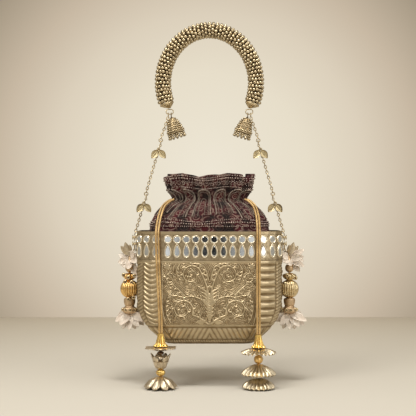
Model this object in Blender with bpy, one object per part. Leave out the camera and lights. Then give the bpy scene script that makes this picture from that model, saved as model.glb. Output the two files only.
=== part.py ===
"""Potli bag: a gathered brocade pouch in an embossed metal basket, on chains and a beaded handle.

Metres, +Z up, +X to the right and -Y to the front. The origin is at the underside of the handle's
top, where a hand or a hook holds the bag, and the bag hangs below it as it does in use.
"""

import math

import bmesh
import bpy
from mathutils import Vector

SIDES = (("left", -1), ("right", 1))
CLEARANCE = 0.0003  # running gap between pieces that touch

# Beaded grip: an elliptical arch of tube covered with balls
GRIP_HALF_WIDTH = 0.0498  # to the tube's centre line
GRIP_RISE = 0.0564
GRIP_DIAMETER = 0.0175  # over the balls
GRIP_TUCK = math.radians(22)  # how far the ends run on below the widest level
BALL_DIAMETER = 0.0045
ROW_SPACING = 1.08  # rows of balls along the grip, in ball diameters

# End caps and the loops under them
CAP_RADIUS = 0.0076
CAP_LENGTH = 0.0060
CAP_TIP_RADIUS = 0.0014
CAP_TIP_SHIFT = 0.0015  # the tip leans towards the middle of the bag
EYE_HALF_HEIGHT = 0.0026
EYE_HALF_WIDTH = 0.0038
EYE_BAR = 0.0023  # half of its straight bottom bar

# Wire, rings and chain
WIRE = 0.0010
RING_RADIUS = 0.0022  # to the middle of the wire
LINK_WIDTH = 0.0036
HANGING_PITCH = 0.0032  # between two rings that hang side by side
UPPER_DROP = 0.0295  # eye bar to the first leaf site's bar
MIDDLE_DROP = 0.0574  # first to second leaf site
LOWER_DROP = 0.0449  # second leaf site to the basket's stud
LINKS = {"upper": 6, "middle": 10, "lower": 7}
SITE_LOOP_WIDTH = 0.0019  # half of the loop at the foot of a length of chain
SITE_LOOP_DROP = 0.0032

# Leaf charms, on a loop that stands forward of the chain
LOOP_NECK = 0.0016
LOOP_HEIGHT = 0.0036
LOOP_REACH = 0.0056
LEAF_FORWARD = 0.0025  # from the chain to the first leaf
LEAF_PITCH = 0.0014
LEAF_LENGTH = 0.0118
LEAF_WIDTH = 0.0066
LEAF_THICKNESS = 0.0007
LEAF_CUP = 0.0008
LEAF_SPREAD = math.radians(38)  # each leaf's lean from straight down
EYELET_RADIUS = 0.0010
EYELET_WALL = 0.0009

# Bell charms
BELL_RADIUS = 0.0092
BELL_HEIGHT = 0.0180
BELL_WALL = 0.0009
BELL_LEAN = math.radians(17)
FRINGE_BALLS = 12
FRINGE_BALL = 0.0026
FRINGE_HEIGHT = 0.0056

# Basket
BASKET_HALF_WIDTH = 0.0755
BASKET_HALF_DEPTH = 0.0450
BASKET_HEIGHT = 0.1175
BASKET_WALL = 0.0009
FRONT_HALF = 0.0503  # half of the flat front panel
FIRST_TURN = math.radians(20)  # the corner's three facets
NEXT_TURN = math.radians(15)
STRAIGHT_HEIGHT = 0.0750  # the walls fall straight this far, then curve in to the base
BASE_HALF_WIDTH = 0.0445
BASE_HALF_DEPTH = 0.0300
BASE_FRONT_HALF = 0.0360
SIDE_CURVE = 1.9  # how late the sides and the front curve in
FRONT_CURVE = 3.0
RIM_STRIP = 0.0032
RIM_PROUD = 0.0007
STUD_BELOW_RIM = 0.0071
SET_BACK = 0.0015  # the basket's middle stands behind the studs, so that the bag hangs level

# Mouldings round the basket
EDGE = 0.0004  # the slope at a moulding's edge
MOULDING_HEIGHT = 0.0022
MOULDING_PROUD = 0.0009
LINE_DEPTH = 0.0975  # raised line where the front panel ends
LINE_HALF_HEIGHT = 0.0009
LINE_PROUD = 0.0007

# Raised ornament pressed out of the basket's wall
RELIEF_PROUD = 0.0009
RELIEF_SEAT = 0.0005  # how far each shape reaches into the wall
RIDGE_HALF_WIDTH = 0.0013
RIDGE_TIP = 0.45  # a ridge's width at its end, and its crest, as shares of its foot
SCROLL_TURNS = 1.35
SCROLL_STEPS = 9
UPPER_SCROLL = (0.0128, 0.0405, 0.0098)  # centre across, depth, and radius
LOWER_SCROLL = (0.0285, 0.0805, 0.0098)
STEM_TOP = 0.0620
STEM_FOOT = 0.0945
FAN_REACH = 0.0085
SPRAY_START = 0.0120
SPRAY_END = 0.0400
SPRAY_RISE = 0.0040
FLOWER_RADIUS = 0.0042
FLOWER_PLACE = (0.0430, 0.0360)
BAR_PITCH = 0.0075
BAR_HALF_HEIGHT = 0.0012
BARS = 6
FIRST_BAR = 0.0385
FOOT_RIBS = 4  # on each side of the front panel's middle
FOOT_RIB_PITCH = 0.0092

# Band of mirrors
BAND_THICKNESS = 0.0008
BAND_HEIGHT = 0.0256
SETTING_PROUD = 0.0011
ROUND_RADIUS = 0.0034
DROP_WIDTH = 0.0070
DROP_HEIGHT = 0.0112
FRONT_COLUMNS = 10
COLUMN_MARGIN = 0.0024

# Lugs on the basket's sides
LUG_THICKNESS = 0.0014
LUG_HALF_WIDTH = 0.0042
LUG_END = 0.0036  # beyond each stud's centre
STUD_RADIUS = 0.0012
STUD_LENGTH = 0.0034
STUD_HEAD_RADIUS = 0.0028
STUD_HEAD = 0.0009
STUD_PITCH = 0.0070
STUD_RING_RADIUS = 0.0026
SIDE_RING_RADIUS = 0.0042  # of the larger ring on the lower stud

# Pouch and lining
PLEATS = 14
CLOTH = 0.0012
NECK_HALF_WIDTH = 0.0375
NECK_HALF_DEPTH = 0.0215
NECK_ABOVE_RIM = 0.0330
MOUTH_HALF_WIDTH = 0.0452
MOUTH_HALF_DEPTH = 0.0262
MOUTH_ABOVE_RIM = 0.0590
MOUTH_WAVE = 0.0022
SHOULDER_HALF_WIDTH = 0.0640
SHOULDER_HALF_DEPTH = 0.0400
NECK_PLEAT = 0.0026
MOUTH_PLEAT = 0.0036
HEM_DEPTH = 0.0110
LINING_THICKNESS = 0.0009

# Drawstring cords and their tassels
CORD_DIAMETER = 0.0023
CORD_STEP = 3.0  # diameters between points
TASSEL_X = 0.0503
TASSEL_Y = -0.0478
LEFT_TASSEL_DROP = 0.1047  # from the rim to the cone cap's top
RIGHT_TASSEL_DROP = 0.1059

# Side tassels
SIDE_TASSEL_OUT = 0.0100  # the beads' centre line, out from the basket's wall
SIDE_BEAD_RADIUS = 0.0093
SIDE_SKIRT_RADIUS = 0.0160

# Places worked out from the sizes above
DOWN = Vector((0, 0, -1))
GRIP_CENTRE_Z = GRIP_DIAMETER / 2 - GRIP_RISE
END_X = GRIP_HALF_WIDTH * math.cos(GRIP_TUCK)
END_Z = GRIP_CENTRE_Z - GRIP_RISE * math.sin(GRIP_TUCK)
END_SLOPE = Vector((-GRIP_HALF_WIDTH * math.sin(GRIP_TUCK), 0, -GRIP_RISE * math.cos(GRIP_TUCK))).normalized()
CAP_BASE = Vector((END_X, 0, END_Z)) + END_SLOPE * CLEARANCE
CAP_TIP = CAP_BASE + END_SLOPE * CAP_LENGTH - Vector((CAP_TIP_SHIFT, 0, 0))
EYE_X = CAP_TIP.x
EYE_Z = CAP_TIP.z + CAP_TIP_RADIUS * END_SLOPE.x - CLEARANCE - WIRE / 2 - EYE_HALF_HEIGHT
BAR_Z = EYE_Z - EYE_HALF_HEIGHT
CHAIN_X = EYE_X + HANGING_PITCH / 2
BELL_X = EYE_X - HANGING_PITCH / 2
BAND_OFFSET = CLEARANCE + BAND_THICKNESS
LUG_FACE_X = BASKET_HALF_WIDTH + BAND_OFFSET + CLEARANCE + LUG_THICKNESS
STUD_X = LUG_FACE_X + STUD_LENGTH / 2
FIRST_SITE_Z = BAR_Z - UPPER_DROP
SECOND_SITE_Z = FIRST_SITE_Z - MIDDLE_DROP
STUD_Z = SECOND_SITE_Z - LOWER_DROP
CHAIN_SLOPE = (STUD_X - CHAIN_X) / (BAR_Z - STUD_Z)
FIRST_SITE_X = CHAIN_X + CHAIN_SLOPE * UPPER_DROP
SECOND_SITE_X = FIRST_SITE_X + CHAIN_SLOPE * MIDDLE_DROP
RIM_Z = STUD_Z + STUD_BELOW_RIM
LOWER_STUD_Z = STUD_Z - STUD_PITCH
RING_SEAT = RING_RADIUS - WIRE - CLEARANCE  # from a bar down to the centre of a ring that hangs on it
STUD_SEAT = STUD_RING_RADIUS - WIRE / 2 - STUD_RADIUS - CLEARANCE
RING_JOINT = RING_SEAT + RING_RADIUS  # from a bar down to the joint under the ring
LEAF_HINGE_DROP = RING_JOINT + LOOP_NECK + LOOP_HEIGHT
SIDE_RING_Z = LOWER_STUD_Z - (SIDE_RING_RADIUS - WIRE / 2 - STUD_RADIUS - CLEARANCE)
SIDE_HINGE_Z = SIDE_RING_Z - SIDE_RING_RADIUS
TASSEL_LINE_X = BASKET_HALF_WIDTH + SIDE_TASSEL_OUT
BAND_TOP = RIM_STRIP + EDGE + CLEARANCE  # below the rim
BAND_BOTTOM = BAND_TOP + BAND_HEIGHT


def body_pivots():
    """Each body's carrier, and the point on its joint's axis where it pivots."""
    bodies = {"handle": (None, Vector((0, 0, 0)))}
    for side, sign in SIDES:
        first = Vector((sign * FIRST_SITE_X, 0, FIRST_SITE_Z))
        second = Vector((sign * SECOND_SITE_X, 0, SECOND_SITE_Z))
        bodies[f"jhumka_{side}"] = ("handle", Vector((sign * BELL_X, 0, BAR_Z)))
        bodies[f"chain_{side}_upper"] = ("handle", Vector((sign * CHAIN_X, 0, BAR_Z)))
        bodies[f"chain_{side}_middle"] = (f"chain_{side}_upper", first)
        bodies[f"chain_{side}_lower"] = (f"chain_{side}_middle", second)
        for length, bar in (("middle", first), ("lower", second)):
            for place in ("inner", "outer"):
                bodies[f"leaf_{side}_{length}_{place}"] = (f"chain_{side}_{length}", leaf_hinge(bar, sign))
    bodies["basket"] = ("chain_left_lower", Vector((-STUD_X, 0, STUD_Z)))
    for side, sign in SIDES:
        bodies[f"side_ring_{side}"] = ("basket", Vector((sign * STUD_X, 0, LOWER_STUD_Z)))
        bodies[f"side_tassel_{side}"] = (f"side_ring_{side}", Vector((sign * STUD_X, 0, SIDE_HINGE_Z)))
    return bodies


def leaf_hinge(bar, sign):
    """Where a pair of leaves hangs below the bar that its chain hangs on."""
    return bar + Vector((sign * CHAIN_SLOPE * LEAF_HINGE_DROP, 0, -LEAF_HINGE_DROP))


def finish(name, colour, roughness, metallic):
    """A Principled material with one plain colour."""
    material = bpy.data.materials.new(name)
    material.use_nodes = True
    shader = material.node_tree.nodes["Principled BSDF"]
    shader.inputs["Base Color"].default_value = (*colour, 1)
    shader.inputs["Roughness"].default_value = roughness
    shader.inputs["Metallic"].default_value = metallic
    material.diffuse_color = (*colour, 1)
    return material


def add_pivots(bodies):
    """An empty on each body's joint axis, parented as the bodies are."""
    pivots = {}
    for body, (carrier, place) in bodies.items():
        pivot = bpy.data.objects.new(f"pivot_{body}", None)
        bpy.context.collection.objects.link(pivot)
        pivot.location = place - (bodies[carrier][1] if carrier else Vector())
        pivot.parent = pivots.get(carrier)
        pivots[body] = pivot
    return pivots


def add_piece(name, bm, material, body, smooth_angle=40):
    """Turn a mesh modelled in place into an object under its body's pivot."""
    bmesh.ops.recalc_face_normals(bm, faces=bm.faces)
    bmesh.ops.translate(bm, verts=bm.verts, vec=-BODIES[body][1])
    mesh = bpy.data.meshes.new(name)
    bm.to_mesh(mesh)
    bm.free()
    mesh.shade_smooth()
    mesh.set_sharp_from_angle(angle=math.radians(smooth_angle))
    mesh.materials.append(material)
    piece = bpy.data.objects.new(name, mesh)
    bpy.context.collection.objects.link(piece)
    piece.parent = PIVOTS[body]
    return piece


def weld(piece, guide):
    """Weld a guide shape onto a piece with a Boolean union."""
    guide.hide_render = True
    guide.display_type = "WIRE"
    union = piece.modifiers.new("Weld", "BOOLEAN")
    union.operation = "UNION"
    union.object = guide


def new_loop(bm, points):
    """New vertices at the points."""
    return [bm.verts.new(point) for point in points]


def join(bm, first, second):
    """Quads between two closed loops of as many vertices."""
    for i, corner in enumerate(first):
        j = (i + 1) % len(first)
        bm.faces.new((corner, first[j], second[j], second[i]))


def stack(bm, loops, closed=False):
    """Join each loop to the next, then cap both ends, or join the last loop to the first."""
    for first, second in zip(loops, loops[1:]):
        join(bm, first, second)
    if closed:
        join(bm, loops[-1], loops[0])
    else:
        bm.faces.new(loops[0])
        bm.faces.new(loops[-1])


def circle(centre, radius, count, first_axis, second_axis, start=0.0):
    """Points round a circle in the plane of the two axes."""
    points = []
    for i in range(count):
        angle = start + 2 * math.pi * i / count
        points.append(centre + radius * (math.cos(angle) * first_axis + math.sin(angle) * second_axis))
    return points


def wire_section(bm, centre, inward, across):
    """Corners of square wire, the two on the inner side of the bend first."""
    corners = ((1, -1), (1, 1), (-1, 1), (-1, -1))
    return new_loop(bm, [centre + WIRE / 2 * (a * inward + b * across) for a, b in corners])


def ring_spokes(count, first_axis, second_axis):
    """Unit-radius corners of an eight-sided ring that has a flat at each axis."""
    flat = 1 / math.cos(math.pi / 8)
    return [flat * spoke for spoke in circle(Vector(), 1, 8, first_axis, second_axis, math.pi / 8)][:count]


def closed_ring(bm, centre, radius, first_axis, second_axis):
    """An eight-sided ring of square wire; the radius runs to the middle of the wire at its flats."""
    across = first_axis.cross(second_axis)
    loops = []
    for spoke in ring_spokes(8, first_axis, second_axis):
        loops.append(wire_section(bm, centre + radius * spoke, -spoke, across))
    stack(bm, loops, closed=True)


def joint_block(bm, centre, along):
    """The joint between two links: eight corners, keyed by signs along, across and in depth."""
    across = Vector((along.z, 0, -along.x))
    depth = Vector((0, 1, 0))
    corners = {}
    for a in (-1, 1):
        for b in (-1, 1):
            for c in (-1, 1):
                corners[a, b, c] = bm.verts.new(centre + WIRE / 2 * (a * along + b * across + c * depth))
    return corners


def block_side(block, axis, sign, near):
    """A joint's side as a loop; the edge at `near` along the chain comes first."""
    order = ((near, -1), (near, 1), (-near, 1), (-near, -1))
    if axis == "across":
        return [block[a, sign, b] for a, b in order]
    return [block[a, b, sign] for a, b in order]


def block_end(block, sign):
    """A joint's end as a loop."""
    return [block[sign, b, c] for b, c in ((-1, -1), (1, -1), (1, 1), (-1, 1))]


def add_wire(bm, start, sections, end):
    """Wire from one loop to another through its sections."""
    loops = [start, *sections, end]
    for first, second in zip(loops, loops[1:]):
        join(bm, first, second)


def add_link(bm, first, second, middle, along, axis):
    """Both wires of one link, each bowed out between two joints."""
    across = Vector((along.z, 0, -along.x))
    depth = Vector((0, 1, 0))
    out, other = (across, depth) if axis == "across" else (depth, across)
    for sign in (-1, 1):
        centre = middle + sign * (LINK_WIDTH - WIRE) / 2 * out
        section = wire_section(bm, centre, -sign * out, other)
        add_wire(bm, block_side(first, axis, sign, 1), [section], block_side(second, axis, sign, -1))


def add_ring(bm, block, near, joint, radius):
    """A ring in the YZ plane on a joint's front and back; `near` is 1 below the joint, -1 above it."""
    across = Vector((-1, 0, 0))
    depth = Vector((0, 1, 0))
    away = DOWN * near
    centre = joint + radius * away
    sections = []
    for spoke in ring_spokes(7, -away, depth)[1:]:
        sections.append(wire_section(bm, centre + radius * spoke, -spoke, across))
    add_wire(bm, block_side(block, "depth", 1, near), sections, block_side(block, "depth", -1, near))


def add_foot_loop(bm, block, joint):
    """A loop in the XZ plane under a joint; its flat bottom bar carries the next ring."""
    left = Vector((-1, 0, 0))
    depth = Vector((0, 1, 0))
    sections = []
    for out, drop, inward in (
        (SITE_LOOP_WIDTH, 0.45, -left),
        (SITE_LOOP_WIDTH - WIRE / 4, 1.0, -left - DOWN),
        (-SITE_LOOP_WIDTH + WIRE / 4, 1.0, left - DOWN),
        (-SITE_LOOP_WIDTH, 0.45, left),
    ):
        centre = joint + out * left + drop * SITE_LOOP_DROP * DOWN
        sections.append(wire_section(bm, centre, inward, depth))
    add_wire(bm, block_side(block, "across", 1, 1), sections, block_side(block, "across", -1, 1))


def add_leaf_loop(bm, upper_block, lower_block, upper, lower, along):
    """A loop that stands forward of the chain; the leaves hang on its straight lower side."""
    across = Vector((along.z, 0, -along.x))
    back = Vector((0, 1, 0))
    sections = (
        wire_section(bm, upper - 0.7 * LOOP_REACH * back, DOWN, across),
        wire_section(bm, upper.lerp(lower, 0.45) - LOOP_REACH * back, back, across),
        wire_section(bm, lower - 0.86 * LOOP_REACH * back, back - DOWN, across),
    )
    start = block_side(upper_block, "depth", -1, 1)
    add_wire(bm, start, sections, block_side(lower_block, "depth", -1, -1))


def add_chain(side, sign, length, top, bottom):
    """One length of chain, from the ring on the bar at its top to its foot loop or stud ring."""
    bm = bmesh.new()
    links = LINKS[length]
    with_leaves = length != "upper"
    ring_joint = top + RING_JOINT * DOWN
    start = leaf_hinge(top, sign) if with_leaves else ring_joint
    foot_rise = STUD_SEAT + STUD_RING_RADIUS if length == "lower" else SITE_LOOP_DROP
    end = bottom - foot_rise * DOWN
    along = (end - start).normalized()
    centres = [start.lerp(end, i / links) for i in range(links + 1)]
    blocks = [joint_block(bm, centre, along) for centre in centres]
    for i in range(links):
        middle = (centres[i] + centres[i + 1]) / 2
        add_link(bm, blocks[i], blocks[i + 1], middle, along, "across" if i % 2 == 0 else "depth")
    for block in blocks[1:-1]:
        bm.faces.new(block_end(block, -1))
        bm.faces.new(block_end(block, 1))

    if with_leaves:
        loop_joint = start - LOOP_HEIGHT * along
        ring_block = joint_block(bm, ring_joint, along)
        loop_block = joint_block(bm, loop_joint, along)
        join(bm, block_end(ring_block, 1), block_end(loop_block, -1))
        join(bm, block_end(loop_block, 1), block_end(blocks[0], -1))
        add_leaf_loop(bm, loop_block, blocks[0], loop_joint, start, along)
        for block, axis, face in (
            (ring_block, "across", -1),
            (ring_block, "across", 1),
            (loop_block, "across", -1),
            (loop_block, "across", 1),
            (loop_block, "depth", 1),
            (blocks[0], "depth", 1),
        ):
            bm.faces.new(block_side(block, axis, face, 1))
    else:
        ring_block = blocks[0]
    bm.faces.new(block_end(ring_block, -1))
    bm.faces.new(block_end(blocks[0], 1))
    add_ring(bm, ring_block, -1, ring_joint, RING_RADIUS)

    bm.faces.new(block_end(blocks[-1], -1))
    bm.faces.new(block_end(blocks[-1], 1))
    if length == "lower":
        add_ring(bm, blocks[-1], 1, end, STUD_RING_RADIUS)
    else:
        add_foot_loop(bm, blocks[-1], end)
    return add_piece(f"chain_{side}_{length}", bm, ANTIQUE_GOLD, f"chain_{side}_{length}", 25)


def add_leaf(side, sign, length, place, bar):
    """A cupped leaf whose eyelet turns on the loop in front of the chain."""
    hinge = leaf_hinge(bar, sign)
    outward = sign if place == "outer" else -sign
    lean = outward * LEAF_SPREAD
    down = Vector((math.sin(lean), 0, -math.cos(lean)))
    right = Vector((math.cos(lean), 0, math.sin(lean)))
    front = Vector((0, -1, 0))
    forward = LEAF_FORWARD + (LEAF_PITCH if place == "outer" else 0)
    rim = EYELET_RADIUS + EYELET_WALL
    widest = 0.45 * LEAF_LENGTH
    outline = (
        (0, -rim, 0),
        (0.7 * rim, -0.7 * rim, 0),
        (rim, 0.2 * rim, 0),
        (LEAF_WIDTH / 2, widest, LEAF_CUP),
        (0, LEAF_LENGTH, 0),
        (-LEAF_WIDTH / 2, widest, LEAF_CUP),
        (-rim, 0.2 * rim, 0),
        (-0.7 * rim, -0.7 * rim, 0),
    )
    bm = bmesh.new()
    loops = []
    for thickness, holes in ((0.5, False), (-0.5, False), (-0.5, True), (0.5, True)):
        level = hinge + (forward + thickness * LEAF_THICKNESS) * front
        if holes:
            points = circle(level, EYELET_RADIUS, 8, -down, right)
        else:
            points = [level + x * right + z * down + cup * front for x, z, cup in outline]
        loops.append(new_loop(bm, points))
    stack(bm, loops, closed=True)
    body = f"leaf_{side}_{length}_{place}"
    return add_piece(body, bm, LEAF_GOLD, body)


def grip_point(distance, table):
    """The centre line's point and outward direction, a distance along the arch from its left end."""
    for (start, a), (end, b) in zip(table, table[1:]):
        if distance <= end or end == table[-1][0]:
            angle = a + (b - a) * (distance - start) / (end - start)
            break
    point = Vector((GRIP_HALF_WIDTH * math.cos(angle), 0, GRIP_CENTRE_Z + GRIP_RISE * math.sin(angle)))
    tangent = Vector((-GRIP_HALF_WIDTH * math.sin(angle), 0, GRIP_RISE * math.cos(angle))).normalized()
    return point, Vector((tangent.z, 0, -tangent.x))


def add_grip():
    """The arch of balls: each ball is a six-sided boss in a staggered lattice round the tube."""
    steps = 200
    table = [(0.0, math.pi + GRIP_TUCK)]
    for i in range(1, steps + 1):
        angle = math.pi + GRIP_TUCK - (math.pi + 2 * GRIP_TUCK) * i / steps
        middle = (angle + table[-1][1]) / 2
        speed = math.hypot(GRIP_HALF_WIDTH * math.sin(middle), GRIP_RISE * math.cos(middle))
        table.append((table[-1][0] + speed * (table[-1][1] - angle), angle))
    length = table[-1][0]
    rows = round(length / (BALL_DIAMETER * ROW_SPACING))
    around = round(math.pi * (GRIP_DIAMETER - BALL_DIAMETER) / BALL_DIAMETER)
    top_radius = GRIP_DIAMETER / 2
    valley_radius = top_radius - 0.42 * BALL_DIAMETER

    def place(bm, row, half_column, radius):
        distance = min(max((row + 0.5) / rows, 0.0), 1.0) * length
        point, outward = grip_point(distance, table)
        angle = math.pi * half_column / around
        return bm.verts.new(point + radius * (math.cos(angle) * outward + math.sin(angle) * Vector((0, 1, 0))))

    bm = bmesh.new()
    columns = 2 * around
    valleys = [[place(bm, -1, h, valley_radius) for h in range(columns)]]
    for row in range(rows - 1):
        shares = [2 / 3 if h % 2 == row % 2 else 1 / 3 for h in range(columns)]
        valleys.append([place(bm, row + share, h, valley_radius) for h, share in enumerate(shares)])
    valleys.append([place(bm, rows, h, valley_radius) for h in range(columns)])
    for row in range(rows):
        before, after = valleys[row], valleys[row + 1]
        for h in range(row % 2, columns, 2):
            crest = place(bm, row, h, top_radius)
            left, right = (h - 1) % columns, (h + 1) % columns
            rim = (after[left], after[h], after[right], before[right], before[h], before[left])
            for i in range(6):
                bm.faces.new((crest, rim[i], rim[(i + 1) % 6]))
    bm.faces.new(valleys[0])
    bm.faces.new(valleys[-1])
    return add_piece("beaded_grip", bm, BALL_GOLD, "handle", 25)


def add_cap_and_eye(side, sign):
    """The metal cup on the grip's end, and the wire loop soldered under its tip."""
    slope = Vector((sign * END_SLOPE.x, 0, END_SLOPE.z))
    base = Vector((sign * CAP_BASE.x, 0, CAP_BASE.z))
    depth = Vector((0, 1, 0))
    bm = bmesh.new()
    loops = []
    for along, radius in (
        (0.0, CAP_RADIUS),
        (0.27, CAP_RADIUS),
        (0.55, 0.80 * CAP_RADIUS),
        (0.85, 0.42 * CAP_RADIUS),
        (1.0, CAP_TIP_RADIUS),
    ):
        centre = base + along * CAP_LENGTH * slope - Vector((sign * CAP_TIP_SHIFT * along**2, 0, 0))
        loops.append(new_loop(bm, circle(centre, radius, 10, depth, slope.cross(depth))))
    stack(bm, loops)
    add_piece(f"end_cap_{side}", bm, ANTIQUE_GOLD, "handle")

    bm = bmesh.new()
    slant = EYE_HALF_HEIGHT - (EYE_HALF_WIDTH - EYE_BAR)
    quarter = ((EYE_BAR, EYE_HALF_HEIGHT), (EYE_HALF_WIDTH, slant))
    corners = [*quarter, *[(x, -z) for x, z in reversed(quarter)]]
    corners += [(-x, -z) for x, z in corners]
    loops = []
    for x, z in corners:
        centre = Vector((sign * EYE_X + x, 0, EYE_Z + z))
        steep = abs(z) == EYE_HALF_HEIGHT
        level, upright = (0.4, 1.0) if steep else (1.0, 0.4)
        inward = Vector((-math.copysign(level, x), 0, -math.copysign(upright, z)))
        loops.append(wire_section(bm, centre, inward, depth))
    stack(bm, loops, closed=True)
    add_piece(f"eye_ring_{side}", bm, ANTIQUE_GOLD, "handle", 25)


def add_bell(side, sign):
    """The hollow dome with its hanging ring, and the fringe of balls round its rim."""
    hinge = Vector((sign * BELL_X, 0, BAR_Z))
    down = Vector((-sign * math.sin(BELL_LEAN), 0, -math.cos(BELL_LEAN)))
    depth = Vector((0, 1, 0))
    side_axis = down.cross(depth)
    top = hinge + RING_JOINT * DOWN
    body = f"jhumka_{side}"
    columns = 12

    bm = bmesh.new()
    outer = ((0.0, 0.10), (0.08, 0.20), (0.30, 0.50), (0.60, 0.80), (0.88, 1.0), (1.0, 1.0))
    inner = ((1.0, 1.0), (0.62, 0.80), (0.34, 0.50))
    loops = []
    for height, share in outer:
        radius = share * BELL_RADIUS
        centre = top + height * BELL_HEIGHT * down
        loops.append(new_loop(bm, circle(centre, radius, columns, depth, side_axis)))
    for height, share in inner:
        radius = share * BELL_RADIUS - BELL_WALL
        centre = top + height * BELL_HEIGHT * down
        loops.append(new_loop(bm, circle(centre, radius, columns, depth, side_axis)))
    stack(bm, loops)
    dome = add_piece(f"jhumka_dome_{side}", bm, ANTIQUE_GOLD, body)
    bm = bmesh.new()
    closed_ring(bm, hinge + RING_SEAT * DOWN, RING_RADIUS, depth, DOWN)
    weld(dome, add_piece(f"jhumka_ring_{side}", bm, ANTIQUE_GOLD, body))

    bm = bmesh.new()
    rim = top + (BELL_HEIGHT + CLEARANCE) * down
    middle_radius = BELL_RADIUS - 0.15 * FRINGE_BALL
    loops = []
    for out, drop in ((0.30, 0.0), (1.0, 0.35), (0.85, 0.75), (0.0, 1.0), (-0.45, 0.5)):
        points = []
        for i, spoke in enumerate(circle(Vector(), 1, 2 * FRINGE_BALLS, depth, side_axis)):
            swell = 1.0 if i % 2 == 0 else 0.35
            radius = middle_radius + swell * out * FRINGE_BALL / 2
            points.append(rim + radius * spoke + drop * (0.8 + 0.2 * swell) * FRINGE_HEIGHT * down)
        loops.append(new_loop(bm, points))
    stack(bm, loops, closed=True)
    add_piece(f"jhumka_fringe_{side}", bm, BALL_GOLD, body, 25)


def plan(half_width, half_depth, front_half):
    """Sixteen points round the basket: two flat panels and, at each corner, three facets."""
    turns = [FIRST_TURN + i * NEXT_TURN for i in range(3)]
    facet = (half_width - front_half) / sum(math.cos(turn) for turn in turns)
    corner = [Vector((front_half, -half_depth))]
    for turn in turns:
        corner.append(corner[-1] + facet * Vector((math.cos(turn), math.sin(turn))))
    right = corner + [Vector((p.x, -p.y)) for p in reversed(corner)]
    return right + [-p for p in right]


def inset(points, amount):
    """A convex outline moved inwards by an amount, or outwards by a negative one."""
    count = len(points)
    moved = []
    for i, point in enumerate(points):
        before = (point - points[i - 1]).normalized()
        after = (points[(i + 1) % count] - point).normalized()
        first = Vector((-before.y, before.x))
        second = Vector((-after.y, after.x))
        moved.append(point + amount * (first + second) / (1 + first.dot(second)))
    return moved


def basket_plan(depth):
    """The basket's outline at a depth below its rim."""
    fall = max(0.0, (depth - STRAIGHT_HEIGHT) / (BASKET_HEIGHT - STRAIGHT_HEIGHT))
    side, front = fall**SIDE_CURVE, fall**FRONT_CURVE
    return plan(
        BASKET_HALF_WIDTH - side * (BASKET_HALF_WIDTH - BASE_HALF_WIDTH),
        BASKET_HALF_DEPTH - front * (BASKET_HALF_DEPTH - BASE_HALF_DEPTH),
        FRONT_HALF - side * (FRONT_HALF - BASE_FRONT_HALF),
    )


def wall_inset(depth):
    """How far inwards the wall reaches at a depth; more where the wall slopes."""
    step = 0.001
    slope = (basket_plan(depth)[3].x - basket_plan(depth + step)[3].x) / step
    return BASKET_WALL * math.hypot(1, max(0.0, slope))


def at_depth(outline, depth):
    """Points of an outline, set at a depth below the rim."""
    return [Vector((p.x, p.y + SET_BACK, RIM_Z - depth)) for p in outline]


def curve_depths():
    """Levels of the curved lower wall, between the straight wall and the base."""
    span = BASKET_HEIGHT - STRAIGHT_HEIGHT
    return [STRAIGHT_HEIGHT + share * span for share in (0.0, 0.30, 0.53, 0.74, 0.90)]


def add_basket():
    """The pressed metal body: rim strip, mouldings, straight walls and a curved-in base."""
    under_band = BAND_BOTTOM + CLEARANCE
    under_moulding = under_band + EDGE + MOULDING_HEIGHT
    levels = [(0.0, RIM_PROUD), (RIM_STRIP, RIM_PROUD), (RIM_STRIP + EDGE, 0.0), (under_band, 0.0)]
    levels.append((under_band + EDGE, MOULDING_PROUD))
    levels.append((under_moulding, MOULDING_PROUD))
    levels.append((under_moulding + EDGE, 0.0))
    for depth in curve_depths():
        if abs(depth - LINE_DEPTH) > 2 * LINE_HALF_HEIGHT:
            levels.append((depth, 0.0))
        else:
            levels.append((LINE_DEPTH - LINE_HALF_HEIGHT, 0.0))
            levels.append((LINE_DEPTH, LINE_PROUD))
            levels.append((LINE_DEPTH + LINE_HALF_HEIGHT, 0.0))
    levels.append((BASKET_HEIGHT, 0.0))
    bm = bmesh.new()
    loops = []
    for depth, proud in reversed(levels):
        loops.append(new_loop(bm, at_depth(inset(basket_plan(depth), -proud), depth)))
    for depth in (0.0, *curve_depths(), BASKET_HEIGHT - BASKET_WALL):
        loops.append(new_loop(bm, at_depth(inset(basket_plan(depth), wall_inset(depth)), depth)))
    stack(bm, loops)
    shell = add_piece("basket_shell", bm, ANTIQUE_GOLD, "basket", 30)
    weld(shell, add_relief())


def on_front(across, depth, out):
    """A point on the front panel, or standing out from it."""
    return Vector((across, basket_plan(depth)[0].y - out + SET_BACK, RIM_Z - depth))


def add_ridge(bm, route):
    """A raised line through places on the front panel, narrower at its end and at its crest."""
    loops = []
    last = len(route) - 1
    for i, place in enumerate(route):
        ahead = (route[min(i + 1, last)] - route[max(i - 1, 0)]).normalized()
        width = RIDGE_HALF_WIDTH * (1 - (1 - RIDGE_TIP) * i / last)
        aside = width * Vector((-ahead.y, ahead.x))
        corners = []
        for share in (1, RIDGE_TIP, -RIDGE_TIP, -1):
            out = RELIEF_PROUD if abs(share) < 1 else -RELIEF_SEAT
            corners.append(on_front(*(place + share * aside), out))
        loops.append(new_loop(bm, corners))
    stack(bm, loops)


def add_boss(bm, outline, crest):
    """A flat-topped raised shape on the front panel; its crest is a share of its foot."""
    middle = sum(outline, Vector((0, 0))) / len(outline)
    loops = []
    for share, out in ((1, -RELIEF_SEAT), (crest, RELIEF_PROUD)):
        loops.append(new_loop(bm, [on_front(*middle.lerp(point, share), out) for point in outline]))
    stack(bm, loops)


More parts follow.
